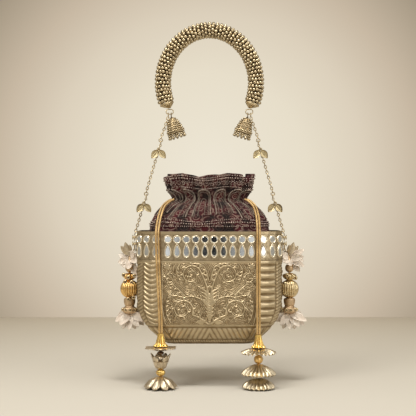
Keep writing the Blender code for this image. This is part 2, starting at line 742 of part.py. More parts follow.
def scroll(place, sign, start):
    """A spiral that winds inwards to its centre, from a start angle above the horizontal."""
    across, depth, radius = place
    route = []
    for i in range(SCROLL_STEPS):
        share = i / (SCROLL_STEPS - 1)
        angle = start + sign * share * SCROLL_TURNS * 2 * math.pi
        reach = radius * (1 - 0.72 * share)
        route.append(Vector((across + reach * math.cos(angle), depth - reach * math.sin(angle))))
    return route


def add_relief():
    """Scrolls on a stem with a fan, sprays and flowers, bars on the front corners, ribs at the foot."""
    stem_side = 2 * RIDGE_HALF_WIDTH
    bm = bmesh.new()
    for sign in (-1, 1):
        upper = [Vector((stem_side, STEM_TOP - FAN_REACH)), *scroll(UPPER_SCROLL, -1, math.radians(175))]
        lower = [Vector((stem_side, STEM_FOOT)), *scroll(LOWER_SCROLL, -1, math.radians(190))]
        crest = STEM_TOP - SPRAY_RISE
        places = ((SPRAY_START, STEM_TOP), (0.6 * SPRAY_END, crest), (SPRAY_END, STEM_TOP))
        spray = [Vector(place) for place in places]
        for route in (upper, lower, spray):
            add_ridge(bm, [Vector((sign * p.x, p.y)) for p in route])
        flower = Vector((sign * FLOWER_PLACE[0], FLOWER_PLACE[1]))
        petals = []
        for i in range(10):
            reach = FLOWER_RADIUS * (1.0 if i % 2 == 0 else 0.6)
            petals.append(flower + reach * Vector((math.cos(i * math.pi / 5), math.sin(i * math.pi / 5))))
        add_boss(bm, petals, 0.6)
        for i in range(FOOT_RIBS):
            reach = sign * (1.2 + i) * FOOT_RIB_PITCH
            route = []
            for depth in (LINE_DEPTH + 0.0022, curve_depths()[3], BASKET_HEIGHT - 0.0045):
                lean = basket_plan(depth)[0].x / basket_plan(LINE_DEPTH)[0].x
                route.append(Vector((reach * lean, depth)))
            add_ridge(bm, route)
        add_corner_bars(bm, sign)
    add_ridge(bm, [Vector((0, STEM_FOOT - 0.0010)), Vector((0, STEM_TOP + 0.0016))])
    fan = [Vector((0, STEM_TOP + 0.0010))]
    for i in range(9):
        angle = math.radians(20 + 140 * i / 8)
        reach = FAN_REACH * (1.0 if i % 2 == 0 else 0.78)
        fan.append(Vector((-reach * math.cos(angle), STEM_TOP - reach * math.sin(angle))))
    add_boss(bm, fan, 0.7)
    return add_piece("basket_relief", bm, ANTIQUE_GOLD, "basket", 30)


def add_corner_bars(bm, sign):
    """A ladder of bars down the middle facet of a front corner."""
    for i in range(BARS):
        middle = FIRST_BAR + i * BAR_PITCH
        loops = []
        for share, out in ((1.0, -RELIEF_SEAT), (0.6, RELIEF_PROUD)):
            points = []
            for along, rise in ((-1, -1), (1, -1), (1, 1), (-1, 1)):
                depth = middle + rise * share * BAR_HALF_HEIGHT
                outline = inset(basket_plan(depth), -out)
                corner = outline[1].lerp(outline[2], 0.5 + along * (0.28 + 0.12 * share))
                points.append(at_depth([Vector((sign * corner.x, corner.y))], depth)[0])
            loops.append(new_loop(bm, points))
        stack(bm, loops)


def add_lining():
    """The cloth lining of the basket: a thin tub against its walls and floor."""
    top = HEM_DEPTH + 2 * CLEARANCE
    floor = BASKET_HEIGHT - BASKET_WALL - CLEARANCE
    bm = bmesh.new()
    loops = []
    depths = (top, STRAIGHT_HEIGHT, LINE_DEPTH)
    for depth in (floor, *reversed(depths)):
        gap = wall_inset(min(depth, floor)) + CLEARANCE
        loops.append(new_loop(bm, at_depth(inset(basket_plan(depth), gap), depth)))
    for depth in (*depths, floor - LINING_THICKNESS):
        gap = wall_inset(depth) + CLEARANCE + LINING_THICKNESS * (1.6 if depth > STRAIGHT_HEIGHT else 1.0)
        loops.append(new_loop(bm, at_depth(inset(basket_plan(depth), gap), depth)))
    stack(bm, loops)
    add_piece("lining", bm, BLACK_CLOTH, "basket")


def add_mirror_band():
    """A strip round the basket; each column has a round setting over a drop-shaped one."""
    inner = inset(plan(BASKET_HALF_WIDTH, BASKET_HALF_DEPTH, FRONT_HALF), -CLEARANCE)
    outer = inset(inner, -BAND_THICKNESS)
    pitch = (2 * FRONT_HALF - 2 * COLUMN_MARGIN) / FRONT_COLUMNS
    middle = BAND_TOP + 2 * ROUND_RADIUS + (BAND_HEIGHT - 2 * ROUND_RADIUS - DROP_HEIGHT) / 2
    round_centre = BAND_TOP + ROUND_RADIUS + 0.2 * EDGE
    levels = (BAND_TOP, round_centre, middle, BAND_BOTTOM - DROP_HEIGHT / 2, BAND_BOTTOM)

    cells = []  # share along the panel, and whether the cell after it holds mirrors
    for panel in range(16):
        length = (outer[(panel + 1) % 16] - outer[panel]).length
        if panel in (7, 15):
            margin = COLUMN_MARGIN / length
            width = (1 - 2 * margin) / FRONT_COLUMNS
            cells.append((panel, 0.0, False))
            cells += [(panel, margin + i * width, True) for i in range(FRONT_COLUMNS)]
            cells.append((panel, 1 - margin, False))
        elif panel in (3, 11):
            cells.append((panel, 0.0, False))
        else:
            cells.append((panel, 0.0, True))

    bm = bmesh.new()
    edges = []
    for panel, share, _ in cells:
        outside = outer[panel].lerp(outer[(panel + 1) % 16], share)
        inside = inner[panel].lerp(inner[(panel + 1) % 16], share)
        column = [bm.verts.new(at_depth([outside], depth)[0]) for depth in levels]
        column += [bm.verts.new(at_depth([inside], depth)[0]) for depth in (BAND_BOTTOM, BAND_TOP)]
        edges.append(column)

    for i, (panel, _, mirrored) in enumerate(cells):
        left, right = edges[i], edges[(i + 1) % len(cells)]
        bm.faces.new((left[4], right[4], right[5], left[5]))
        bm.faces.new((left[5], right[5], right[6], left[6]))
        bm.faces.new((left[6], right[6], right[0], left[0]))
        if not mirrored:
            for a in range(4):
                bm.faces.new((left[a], right[a], right[a + 1], left[a + 1]))
            continue
        along = (outer[(panel + 1) % 16] - outer[panel]).normalized()
        out = Vector((along.y, -along.x)) * SETTING_PROUD
        centre = (left[0].co.xy + right[0].co.xy) / 2 - Vector((0, SET_BACK))
        room = (right[0].co.xy - left[0].co.xy).length
        for rim, depth, shape in (
            ((left[0], right[0], right[1], right[2], left[2], left[1]), levels[1], round_setting(room)),
            ((left[2], right[2], right[3], right[4], left[4], left[3]), levels[3], drop_setting(room)),
        ):
            top = []
            for x, drop in shape:
                top.append(bm.verts.new(at_depth([centre + x * along + out], depth + drop)[0]))
            join(bm, rim, top)
            bm.faces.new(top)
    add_piece("mirror_band", bm, ANTIQUE_GOLD, "basket", 30)


def round_setting(room):
    """A round setting's six corners, as places across and down from its centre."""
    radius = min(ROUND_RADIUS, 0.42 * room)
    angles = (120, 60, 0, -60, -120, 180)
    return [(radius * math.cos(math.radians(a)), -radius * math.sin(math.radians(a)) * 0.95) for a in angles]


def drop_setting(room):
    """A drop-shaped setting's six corners, narrow at the top."""
    half = min(DROP_WIDTH, 0.84 * room) / 2
    rise = DROP_HEIGHT / 2 * 0.92
    right = [(0.25 * half, -rise), (half, 0.25 * rise), (0.5 * half, rise)]
    return [(-0.25 * half, -rise), *right, (-0.5 * half, rise), (-half, 0.25 * rise)]


def add_lug(side, sign):
    """A plate on the basket's side with two headed studs, one for the chain, one for the tassel."""
    out = Vector((sign, 0, 0))
    depth = Vector((0, 1, 0))
    face = Vector((sign * LUG_FACE_X, 0, 0))
    top, bottom = STUD_Z + LUG_END, LOWER_STUD_Z - LUG_END
    cut = 0.45 * LUG_HALF_WIDTH
    outline = (
        (LUG_HALF_WIDTH, bottom + cut),
        (LUG_HALF_WIDTH, top - cut),
        (LUG_HALF_WIDTH - cut, top),
        (-LUG_HALF_WIDTH + cut, top),
        (-LUG_HALF_WIDTH, top - cut),
        (-LUG_HALF_WIDTH, bottom + cut),
        (-LUG_HALF_WIDTH + cut, bottom),
        (LUG_HALF_WIDTH - cut, bottom),
    )
    bm = bmesh.new()
    loops = []
    for level in (0.0, -LUG_THICKNESS):
        loops.append(new_loop(bm, [face + level * out + Vector((0, y, z)) for y, z in outline]))
    stack(bm, loops)
    lug = add_piece(f"lug_{side}", bm, ANTIQUE_GOLD, "basket")
    for stud, height in (("chain", STUD_Z), ("tassel", LOWER_STUD_Z)):
        foot = face + Vector((0, 0, height))
        bm = bmesh.new()
        loops = []
        for reach, radius in (
            (-LUG_THICKNESS / 2, STUD_RADIUS),
            (STUD_LENGTH, STUD_RADIUS),
            (STUD_LENGTH, STUD_HEAD_RADIUS),
            (STUD_LENGTH + STUD_HEAD, STUD_HEAD_RADIUS * 0.8),
        ):
            loops.append(new_loop(bm, circle(foot + reach * out, radius, 8, depth, DOWN)))
        stack(bm, loops)
        weld(lug, add_piece(f"{stud}_stud_{side}", bm, ANTIQUE_GOLD, "basket"))


def add_pouch():
    """The gathered pouch: one cloth wall whose pleats deepen towards the drawn-in neck."""
    hem_width = BASKET_HALF_WIDTH - BASKET_WALL - 1.5 * CLEARANCE
    hem_depth = BASKET_HALF_DEPTH - BASKET_WALL - 1.5 * CLEARANCE
    draw = NECK_ABOVE_RIM
    frill = draw + 0.4 * (MOUTH_ABOVE_RIM - draw)
    levels = (
        # height, half width, half depth, squareness, pleat
        (-HEM_DEPTH, hem_width, hem_depth, 4.0, 0.0),
        (0.0, SHOULDER_HALF_WIDTH, SHOULDER_HALF_DEPTH, 3.2, 0.25 * NECK_PLEAT),
        (0.27 * draw, 0.955 * SHOULDER_HALF_WIDTH, 0.96 * SHOULDER_HALF_DEPTH, 2.9, 0.65 * NECK_PLEAT),
        (0.58 * draw, 0.86 * SHOULDER_HALF_WIDTH, 0.85 * SHOULDER_HALF_DEPTH, 2.5, 0.9 * NECK_PLEAT),
        (0.83 * draw, 1.24 * NECK_HALF_WIDTH, 1.26 * NECK_HALF_DEPTH, 2.2, 1.1 * NECK_PLEAT),
        (draw, NECK_HALF_WIDTH, NECK_HALF_DEPTH, 2.0, NECK_PLEAT),
        (frill, 0.93 * MOUTH_HALF_WIDTH, 0.90 * MOUTH_HALF_DEPTH, 2.0, 0.85 * MOUTH_PLEAT),
        (MOUTH_ABOVE_RIM, MOUTH_HALF_WIDTH, MOUTH_HALF_DEPTH, 2.0, MOUTH_PLEAT),
    )
    columns = 3 * PLEATS
    bm = bmesh.new()

    def cloth_loop(level, wall):
        height, half_width, half_depth, power, pleat = level
        points = []
        for i in range(columns):
            angle = 2 * math.pi * (i + 0.5) / columns
            c, s = math.cos(angle), math.sin(angle)
            reach = (abs(c) ** power + abs(s) ** power) ** (-1 / power)
            fold = pleat * math.cos(PLEATS * angle - math.pi / 3)
            wave = MOUTH_WAVE * math.sin(5 * angle + 0.6) if height == MOUTH_ABOVE_RIM else 0.0
            x = (half_width - wall) * reach * c + fold * c
            y = (half_depth - wall) * reach * s + fold * s
            points.append(Vector((x, y + SET_BACK, RIM_Z + height + wave)))
        return new_loop(bm, points)

    loops = [cloth_loop(level, 0.0) for level in levels]
    loops += [cloth_loop(level, CLOTH) for level in reversed(levels)]
    stack(bm, loops, closed=True)
    add_piece("pouch", bm, BROCADE, "basket", 50)


def smooth_route(points, spacing):
    """Evenly spaced points on a smooth curve through the route's points."""
    fine = []
    padded = [2 * points[0] - points[1], *points, 2 * points[-1] - points[-2]]
    for a, b, c, d in zip(padded, padded[1:], padded[2:], padded[3:]):
        for i in range(16):
            t = i / 16
            bend = (2 * a - 5 * b + 4 * c - d) * t**2 + (3 * b - a - 3 * c + d) * t**3
            fine.append(0.5 * (2 * b + (c - a) * t + bend))
    fine.append(points[-1])
    length = sum((b - a).length for a, b in zip(fine, fine[1:]))
    count = max(2, round(length / spacing))
    even, run, goal = [fine[0]], 0.0, length / count
    for a, b in zip(fine, fine[1:]):
        step = (b - a).length
        while run + step >= goal and len(even) < count:
            even.append(a.lerp(b, (goal - run) / step))
            goal += length / count
        run += step
    even.append(fine[-1])
    return even


def add_cord(name, route):
    """A drawstring strand: a round tube along its route, with filled ends."""
    points = smooth_route([Vector(p) for p in route], CORD_STEP * CORD_DIAMETER)
    curve = bpy.data.curves.new(name, "CURVE")
    curve.dimensions = "3D"
    curve.bevel_depth = CORD_DIAMETER / 2
    curve.bevel_resolution = 2
    curve.render_resolution_u = 0
    curve.use_fill_caps = True
    spline = curve.splines.new("POLY")
    spline.points.add(len(points) - 1)
    for slot, point in zip(spline.points, points):
        slot.co = (*(point - BODIES["basket"][1]), 1)
    curve.materials.append(CORD_GOLD)
    cord = bpy.data.objects.new(name, curve)
    bpy.context.collection.objects.link(cord)
    cord.parent = PIVOTS["basket"]


def add_cords():
    """Both strands on each side, from the gathered neck over the rim and down to the tassels."""
    left_end = RIM_Z - LEFT_TASSEL_DROP + CLEARANCE
    right_end = RIM_Z - RIGHT_TASSEL_DROP + CLEARANCE
    routes = {
        "cord_left_outer": (
            (-0.0402, -0.0080, -0.1723), (-0.0450, -0.0105, -0.1748), (-0.0499, -0.0160, -0.1800),
            (-0.0532, -0.0270, -0.1895), (-0.0547, -0.0385, -0.1990), (-0.0552, -0.0452, -0.2052),
            (-0.0553, -0.0474, -0.2120), (-0.0550, -0.0478, -0.2220), (-0.0542, -0.0478, -0.2450),
            (-0.0530, -0.0478, -0.2700), (-0.0520, -0.0478, -0.2900), (-0.0516, -0.0478, left_end),
        ),
        "cord_left_inner": (
            (-0.0376, -0.0125, -0.1723), (-0.0424, -0.0152, -0.1750), (-0.0473, -0.0210, -0.1803),
            (-0.0505, -0.0305, -0.1898), (-0.0520, -0.0400, -0.1993), (-0.0526, -0.0455, -0.2053),
            (-0.0527, -0.0475, -0.2120), (-0.0524, -0.0478, -0.2220), (-0.0515, -0.0478, -0.2450),
            (-0.0504, -0.0478, -0.2700), (-0.0494, -0.0478, -0.2900), (-0.0490, -0.0478, left_end),
        ),
        "cord_right_outer": (
            (0.0402, -0.0080, -0.1723), (0.0447, -0.0108, -0.1750), (0.0490, -0.0170, -0.1805),
            (0.0513, -0.0285, -0.1900), (0.0518, -0.0392, -0.1992), (0.0518, -0.0454, -0.2052),
            (0.0517, -0.0475, -0.2120), (0.0516, -0.0478, -0.2220), (0.0515, -0.0478, -0.2450),
            (0.0515, -0.0478, -0.2700), (0.0516, -0.0478, -0.2900), (0.0516, -0.0478, right_end),
        ),
        "cord_right_inner": (
            (0.0376, -0.0125, -0.1723), (0.0421, -0.0155, -0.1752), (0.0464, -0.0220, -0.1808),
            (0.0487, -0.0320, -0.1903), (0.0492, -0.0408, -0.1995), (0.0492, -0.0456, -0.2053),
            (0.0491, -0.0475, -0.2120), (0.0490, -0.0478, -0.2220), (0.0489, -0.0478, -0.2450),
            (0.0489, -0.0478, -0.2700), (0.0490, -0.0478, -0.2900), (0.0490, -0.0478, right_end),
        ),
    }
    for name, route in routes.items():
        add_cord(name, route)


def add_turned(name, centre, top, levels, petals, material, body, columns_each=2):
    """A turned or fluted bead: levels are radius, depth below the top, flute and lift at the petals."""
    bm = bmesh.new()
    columns = petals * columns_each
    loops = []
    for radius, depth, flute, lift in levels:
        points = []
        for i in range(columns):
            angle = 2 * math.pi * i / columns + math.pi / 2
            swell = math.cos(2 * math.pi * i / columns_each)
            reach = radius + flute * swell
            place = centre + reach * Vector((math.cos(angle), math.sin(angle)))
            points.append((*place, top - depth + lift * swell))
        loops.append(new_loop(bm, points))
    stack(bm, loops)
    return add_piece(name, bm, material, body, 35)


def bead_levels(radius, height, hole=0.3):
    """A round bead's levels."""
    shares = ((hole, 0.0), (0.85, 0.22), (1.0, 0.5), (0.85, 0.78), (hole, 1.0))
    return [(radius * across, height * down, 0, 0) for across, down in shares]


def add_cord_tassels():
    """The stacks of beads and petals at the ends of the drawstring."""
    left = Vector((-TASSEL_X, TASSEL_Y))
    right = Vector((TASSEL_X, TASSEL_Y))
    cone = (
        (0.0030, 0.0, 0, 0),
        (0.0034, 0.0040, 0.0003, 0),
        (0.0052, 0.0105, 0.0007, 0),
        (0.0074, 0.0128, 0.0009, 0),
        (0.0060, 0.0134, 0, 0),
    )
    petal_disc = (
        (0.0030, 0.0, 0, 0),
        (0.0135, 0.0010, 0.0035, 0.0004),
        (0.0130, 0.0026, 0.0035, 0.0004),
        (0.0035, 0.0042, 0, 0),
    )
    petal_skirt = (
        (0.0030, 0.0, 0, 0),
        (0.0100, 0.0030, 0.0008, 0),
        (0.0155, 0.0102, 0.0018, -0.0012),
        (0.0140, 0.0106, 0.0018, -0.0010),
        (0.0050, 0.0050, 0, 0),
    )
    fluted_disc = (
        (0.0035, 0.0, 0, 0),
        (0.0120, 0.0020, 0.0006, 0.0003),
        (0.0170, 0.0052, 0.0006, -0.0006),
        (0.0110, 0.0060, 0, 0),
        (0.0040, 0.0068, 0, 0),
    )
    umbrella = (
        (0.0030, 0.0, 0, 0),
        (0.0105, 0.0030, 0.0007, 0),
        (0.0165, 0.0100, 0.0015, -0.0012),
        (0.0150, 0.0104, 0.0013, -0.0010),
        (0.0060, 0.0080, 0, 0),
        (0.0045, 0.0136, 0, 0),
    )
    shell_disc = (
        (0.0040, 0.0, 0, 0),
        (0.0125, 0.0030, 0.0008, 0),
        (0.0142, 0.0080, 0.0012, -0.0008),
        (0.0060, 0.0108, 0, 0),
    )
    pieces = {
        "left": (
            ("cone", 0.0134, 6, BRIGHT_GOLD, cone),
            ("petal_disc", 0.0042, 6, LEAF_GOLD, petal_disc),
            ("neck_bead", 0.0038, 4, DARK_BEAD, bead_levels(0.0036, 0.0038)),
            ("round_bead", 0.0085, 4, LEAF_GOLD, bead_levels(0.0042, 0.0085)),
            ("tulip_cup", 0.0165, 6, LEAF_GOLD, None),
            ("gold_bead", 0.0074, 4, BRIGHT_GOLD, bead_levels(0.0049, 0.0074)),
            ("petal_skirt", 0.0116, 8, LEAF_GOLD, petal_skirt),
        ),
        "right": (
            ("cone", 0.0134, 6, BRIGHT_GOLD, cone),
            ("fluted_disc", 0.0068, 9, BRIGHT_GOLD, fluted_disc),
            ("round_bead", 0.0092, 4, LEAF_GOLD, bead_levels(0.0047, 0.0092)),
            ("umbrella", 0.0142, 8, BRIGHT_GOLD, umbrella),
            ("shell_disc", 0.0112, 8, LEAF_GOLD, shell_disc),
        ),
    }
    for side, centre, drop in (("left", left, LEFT_TASSEL_DROP), ("right", right, RIGHT_TASSEL_DROP)):
        top = RIM_Z - drop
        for piece, height, petals, material, levels in pieces[side]:
            name = f"tassel_{side}_{piece}"
            if piece == "tulip_cup":
                add_tulip_cup(name, centre, top, height, material)
                top -= 0.0050 + CLEARANCE
                continue
            add_turned(name, centre, top, levels, petals, material, "basket")
            top -= height + CLEARANCE


def add_tulip_cup(name, centre, floor, height, material):
    """A cup of six upright petals; the round bead stands on its floor."""
    rise = height - 0.0050
    levels = [
        (0.0030, 0.0, 0, 0),
        (0.0052, 0.0, 0, 0),
        (0.0088, -0.0035, 0.0006, 0.0004),
        (0.0108, -rise + 0.0014, 0.0016, 0.0012),
        (0.0118, -rise + 0.0010, 0.0016, 0.0012),
        (0.0100, -0.0030, 0.0008, 0),
        (0.0064, 0.0040, 0.0003, 0),
        (0.0040, 0.0050, 0, 0),
    ]
    add_turned(name, centre, floor, levels, 6, material, "basket")


def add_side_ring(side, sign):
    """The ring on the lower stud."""
    bm = bmesh.new()
    centre = Vector((sign * STUD_X, 0, SIDE_RING_Z))
    closed_ring(bm, centre, SIDE_RING_RADIUS, Vector((0, 1, 0)), DOWN)
    add_piece(f"side_ring_{side}", bm, ANTIQUE_GOLD, f"side_ring_{side}", 25)


def add_side_tassel(side, sign):
    """Leaf pair, flower, beads and petal skirt, which hang from the side ring against the wall."""
    body = f"side_tassel_{side}"
    hinge = Vector((sign * STUD_X, 0, SIDE_HINGE_Z))
    reach = TASSEL_LINE_X - STUD_X
    rim = EYELET_RADIUS + EYELET_WALL
    base = 0.0062
    outline = (
        (0.0034, -0.0014), (0.0045, -0.0032), (0.0050, 0.0010), (0.0092, 0.0058), (0.0102, 0.0004),
        (reach + 0.0018, -base + 0.0006), (reach - 0.0010, -base), (0.0012, -0.0044),
    )
    bm = bmesh.new()
    right = Vector((sign, 0, 0))
    outer, inner, leaves = [], [], []
    for thickness in (0.5, -0.5):
        level = hinge + Vector((0, thickness * WIRE, 0))
        outer.append(new_loop(bm, circle(level, rim, 8, -DOWN, right)))
        inner.append(new_loop(bm, circle(level, EYELET_RADIUS, 8, -DOWN, right)))
        leaves.append(new_loop(bm, [level + x * right - z * DOWN for x, z in outline]))
    join(bm, inner[0], inner[1])
    for face in (0, 1):
        join(bm, outer[face], inner[face])
        bm.faces.new((outer[face][2], *leaves[face], outer[face][4], outer[face][3]))
    front, back = [[side[2], *leaf, side[4]] for side, leaf in zip(outer, leaves)]
    for i in range(len(front) - 1):
        bm.faces.new((front[i], front[i + 1], back[i + 1], back[i]))
    for i in range(8):
        if i not in (2, 3):
            j = (i + 1) % 8
            bm.faces.new((outer[0][i], outer[0][j], outer[1][j], outer[1][i]))
    add_piece(f"{body}_leaf_pair", bm, LEAF_GOLD, body)

    centre = Vector((sign * TASSEL_LINE_X, 0))
    big, skirt = SIDE_BEAD_RADIUS, SIDE_SKIRT_RADIUS
    top = SIDE_HINGE_Z - base - CLEARANCE
    flower = (
        (0.0015, 0.0, 0, 0),
        (0.0050, 0.0030, 0.0004, 0),
        (0.94 * big, 0.0078, 0.06 * big, -0.0008),
        (0.88 * big, 0.0084, 0.06 * big, -0.0008),
        (0.0035, 0.0096, 0, 0),
    )
    big_bead = (
        (0.0030, 0.0, 0, 0),
        (0.0062, 0.0018, 0.0009, 0),
        (0.0062, 0.0046, 0.0009, 0),
        (0.0046, 0.0064, 0, 0),
        (0.86 * big, 0.0106, 0.0002, 0),
        (0.98 * big, 0.0168, 0.0002, 0),
        (0.86 * big, 0.0228, 0.0002, 0),
        (0.0045, 0.0265, 0, 0),
    )
    spool = (
        (0.0050, 0.0, 0, 0),
        (0.0058, 0.0010, 0, 0),
        (0.0052, 0.0078, 0, 0),
        (0.0078, 0.0100, 0.0010, 0),
        (0.0082, 0.0140, 0.0010, 0),
        (0.0050, 0.0164, 0, 0),
    )
    petal_skirt = (
        (0.0030, 0.0, 0, 0),
        (0.0075, 0.0030, 0.0006, 0),
        (skirt - 0.0012, 0.0182, 0.0012, -0.0018),
        (skirt - 0.0024, 0.0184, 0.0012, -0.0018),
        (0.0050, 0.0060, 0, 0),
    )
    pieces = (
        ("flower", 0.0096, 6, PETAL_CLOTH, flower),
        ("matte_bead", 0.0080, 4, TAN_BEAD, bead_levels(0.0041, 0.0080)),
        ("big_bead", 0.0265, 8, BRIGHT_GOLD, big_bead),
        ("spool", 0.0164, 6, ANTIQUE_GOLD, spool),
        ("petal_skirt", 0.0200, 6, PETAL_CLOTH, petal_skirt),
    )
    for piece, height, petals, material, levels in pieces:
        add_turned(f"{body}_{piece}", centre, top, levels, petals, material, body)
        top -= height + CLEARANCE


for leftover in list(bpy.data.objects):
    bpy.data.objects.remove(leftover, do_unlink=True)

ANTIQUE_GOLD = finish("antique_gold", (0.50, 0.38, 0.18), 0.38, 1.0)
BRIGHT_GOLD = finish("bright_gold", (0.80, 0.55, 0.15), 0.28, 1.0)
LEAF_GOLD = finish("leaf_gold", (0.46, 0.38, 0.20), 0.42, 1.0)
BALL_GOLD = finish("ball_gold", (0.55, 0.44, 0.24), 0.30, 0.9)
DARK_BEAD = finish("dark_bead", (0.10, 0.07, 0.05), 0.35, 0.3)
TAN_BEAD = finish("tan_bead", (0.45, 0.34, 0.22), 0.60, 0.0)
BROCADE = finish("brocade", (0.11, 0.03, 0.04), 0.75, 0.0)
BLACK_CLOTH = finish("black_cloth", (0.02, 0.015, 0.015), 0.85, 0.0)
CORD_GOLD = finish("cord_gold", (0.58, 0.36, 0.12), 0.55, 0.0)
PETAL_CLOTH = finish("petal_cloth", (0.75, 0.68, 0.60), 0.80, 0.0)

BODIES = body_pivots()
PIVOTS = add_pivots(BODIES)

add_grip()
for side, sign in SIDES:
    first_bar = Vector((sign * FIRST_SITE_X, 0, FIRST_SITE_Z))
    second_bar = Vector((sign * SECOND_SITE_X, 0, SECOND_SITE_Z))
    eye_bar = Vector((sign * CHAIN_X, 0, BAR_Z))
    stud = Vector((sign * STUD_X, 0, STUD_Z))
    add_cap_and_eye(side, sign)
    add_bell(side, sign)
    add_chain(side, sign, "upper", eye_bar, first_bar)
    add_chain(side, sign, "middle", first_bar, second_bar)
    add_chain(side, sign, "lower", second_bar, stud)
    for length, bar in (("middle", first_bar), ("lower", second_bar)):
        for place in ("inner", "outer"):
            add_leaf(side, sign, length, place, bar)
    add_lug(side, sign)
    add_side_ring(side, sign)
    add_side_tassel(side, sign)
add_basket()
add_mirror_band()
add_lining()
add_pouch()
add_cords()
add_cord_tassels()
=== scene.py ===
"""Potli bag: brocade pouch in an embossed metal basket, on chains and a horseshoe handle of balls."""

import math
import random

import bmesh
import bpy
import numpy as np
from mathutils import Matrix, Vector, noise


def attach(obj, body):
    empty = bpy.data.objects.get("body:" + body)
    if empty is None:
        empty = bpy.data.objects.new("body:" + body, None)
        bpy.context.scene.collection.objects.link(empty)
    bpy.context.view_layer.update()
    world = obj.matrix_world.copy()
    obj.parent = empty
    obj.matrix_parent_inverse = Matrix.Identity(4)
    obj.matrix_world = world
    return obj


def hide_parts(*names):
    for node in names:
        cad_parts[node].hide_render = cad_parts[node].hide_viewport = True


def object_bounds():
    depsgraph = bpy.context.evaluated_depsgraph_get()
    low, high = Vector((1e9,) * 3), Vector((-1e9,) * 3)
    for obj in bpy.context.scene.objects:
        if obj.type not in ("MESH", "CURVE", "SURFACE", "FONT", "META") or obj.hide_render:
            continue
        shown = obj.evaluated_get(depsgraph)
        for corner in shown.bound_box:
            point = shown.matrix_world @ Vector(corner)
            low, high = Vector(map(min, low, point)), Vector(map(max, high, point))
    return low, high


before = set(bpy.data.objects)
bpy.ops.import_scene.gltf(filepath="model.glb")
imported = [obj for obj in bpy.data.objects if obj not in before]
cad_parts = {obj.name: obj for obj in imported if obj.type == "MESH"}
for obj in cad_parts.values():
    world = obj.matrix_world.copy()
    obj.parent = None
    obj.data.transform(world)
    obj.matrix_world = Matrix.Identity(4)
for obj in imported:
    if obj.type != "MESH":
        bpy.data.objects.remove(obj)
cad_low, cad_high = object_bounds()


# Studio. The bag hangs before a warm seamless wall, with its tassels just on a pale floor. Three soft
# lamps and an even room light it. The wall's colour is a painted pool of light, bright in the middle and
# darker outwards, that glows to the camera and in reflections though it is no lamp; the floor's colour is
# painted light too, lighter in the middle and darker outwards. A card of grey steps behind the camera
# glows in reflections only and paints the reflections that the front mirrors show.
CAMERA_PLACE = Vector((-0.0016, -1.2, -0.1816))
FLOOR_Z = cad_low[2] - 0.0004
WALL_Y = 0.71

scene = bpy.context.scene
scene.view_settings.view_transform = "Standard"


def add_node(tree, kind, sockets=(), **settings):
    """A shader or geometry node; each socket is given a link or a plain value."""
    node = tree.nodes.new(kind)
    for key, value in settings.items():
        setattr(node, key, value)
    for socket, value in dict(sockets).items():
        if isinstance(value, bpy.types.NodeSocket):
            tree.links.new(value, node.inputs[socket])
        else:
            node.inputs[socket].default_value = value
    return node


def add_object(name, data):
    """An object for a mesh, lamp or camera, in the scene."""
    thing = bpy.data.objects.new(name, data)
    scene.collection.objects.link(thing)
    return thing


def new_material(name):
    """An empty material, its tree and its output."""
    material = bpy.data.materials.new(name)
    material.use_nodes = True
    tree = material.node_tree
    tree.nodes.clear()
    return material, tree, tree.nodes.new("ShaderNodeOutputMaterial")


def ramp_between(tree, factor, stops):
    """A colour ramp with the given (place, colour) stops."""
    ramp = add_node(tree, "ShaderNodeValToRGB", {"Fac": factor})
    elements = ramp.color_ramp.elements
    while len(elements) < len(stops):
        elements.new(0.5)
    for element, (place, colour) in zip(elements, stops):
        element.position = place
        element.color = (*colour, 1)
    return ramp.outputs["Color"]


def own_place(tree):
    """The piece's own coordinates."""
    return add_node(tree, "ShaderNodeTexCoord").outputs["Object"]


def maths(tree, operation, *values, clamp=False):
    """The result of a maths node on links or plain numbers."""
    sockets = dict(enumerate(values))
    return add_node(tree, "ShaderNodeMath", sockets, operation=operation, use_clamp=clamp).outputs[0]


def ranged(tree, value, low, high, to_low=0.0, to_high=1.0):
    """A value moved from one range to another."""
    sockets = {"Value": value, "From Min": low, "From Max": high, "To Min": to_low, "To Max": to_high}
    return add_node(tree, "ShaderNodeMapRange", sockets).outputs["Result"]


def studio_sheet(name, corners, stops, spread, glow):
    """A flat sheet whose colour, painted light, runs out from a middle point; with glow, it shows that colour
    itself as a glow, though it is no lamp.
    """
    mesh = bpy.data.meshes.new(name)
    mesh.from_pydata(corners, [], [(0, 1, 2, 3)])
    sheet = add_object(name, mesh)
    material, tree, output = new_material(name)
    middle, scale = spread
    sockets = {"Vector": own_place(tree), "Location": middle, "Scale": scale}
    moved = add_node(tree, "ShaderNodeMapping", sockets).outputs["Vector"]
    distance = add_node(tree, "ShaderNodeVectorMath", {0: moved}, operation="LENGTH")
    colour = ramp_between(tree, distance.outputs["Value"], stops)
    shown = add_node(tree, "ShaderNodeBsdfDiffuse", {"Color": colour}).outputs[0]
    if glow:
        light = add_node(tree, "ShaderNodeEmission", {"Color": colour, "Strength": 1.0}).outputs[0]
        rays = add_node(tree, "ShaderNodeLightPath").outputs
        seen = maths(tree, "MAXIMUM", rays["Is Camera Ray"], rays["Is Glossy Ray"])
        lit = add_node(tree, "ShaderNodeMixShader", {0: seen, 1: shown, 2: light}).outputs[0]
        behind = add_node(tree, "ShaderNodeNewGeometry").outputs["Backfacing"]
        clear = add_node(tree, "ShaderNodeBsdfTransparent").outputs[0]
        shown = add_node(tree, "ShaderNodeMixShader", {0: behind, 1: lit, 2: clear}).outputs[0]
    tree.links.new(shown, output.inputs["Surface"])
    mesh.materials.append(material)
    return sheet
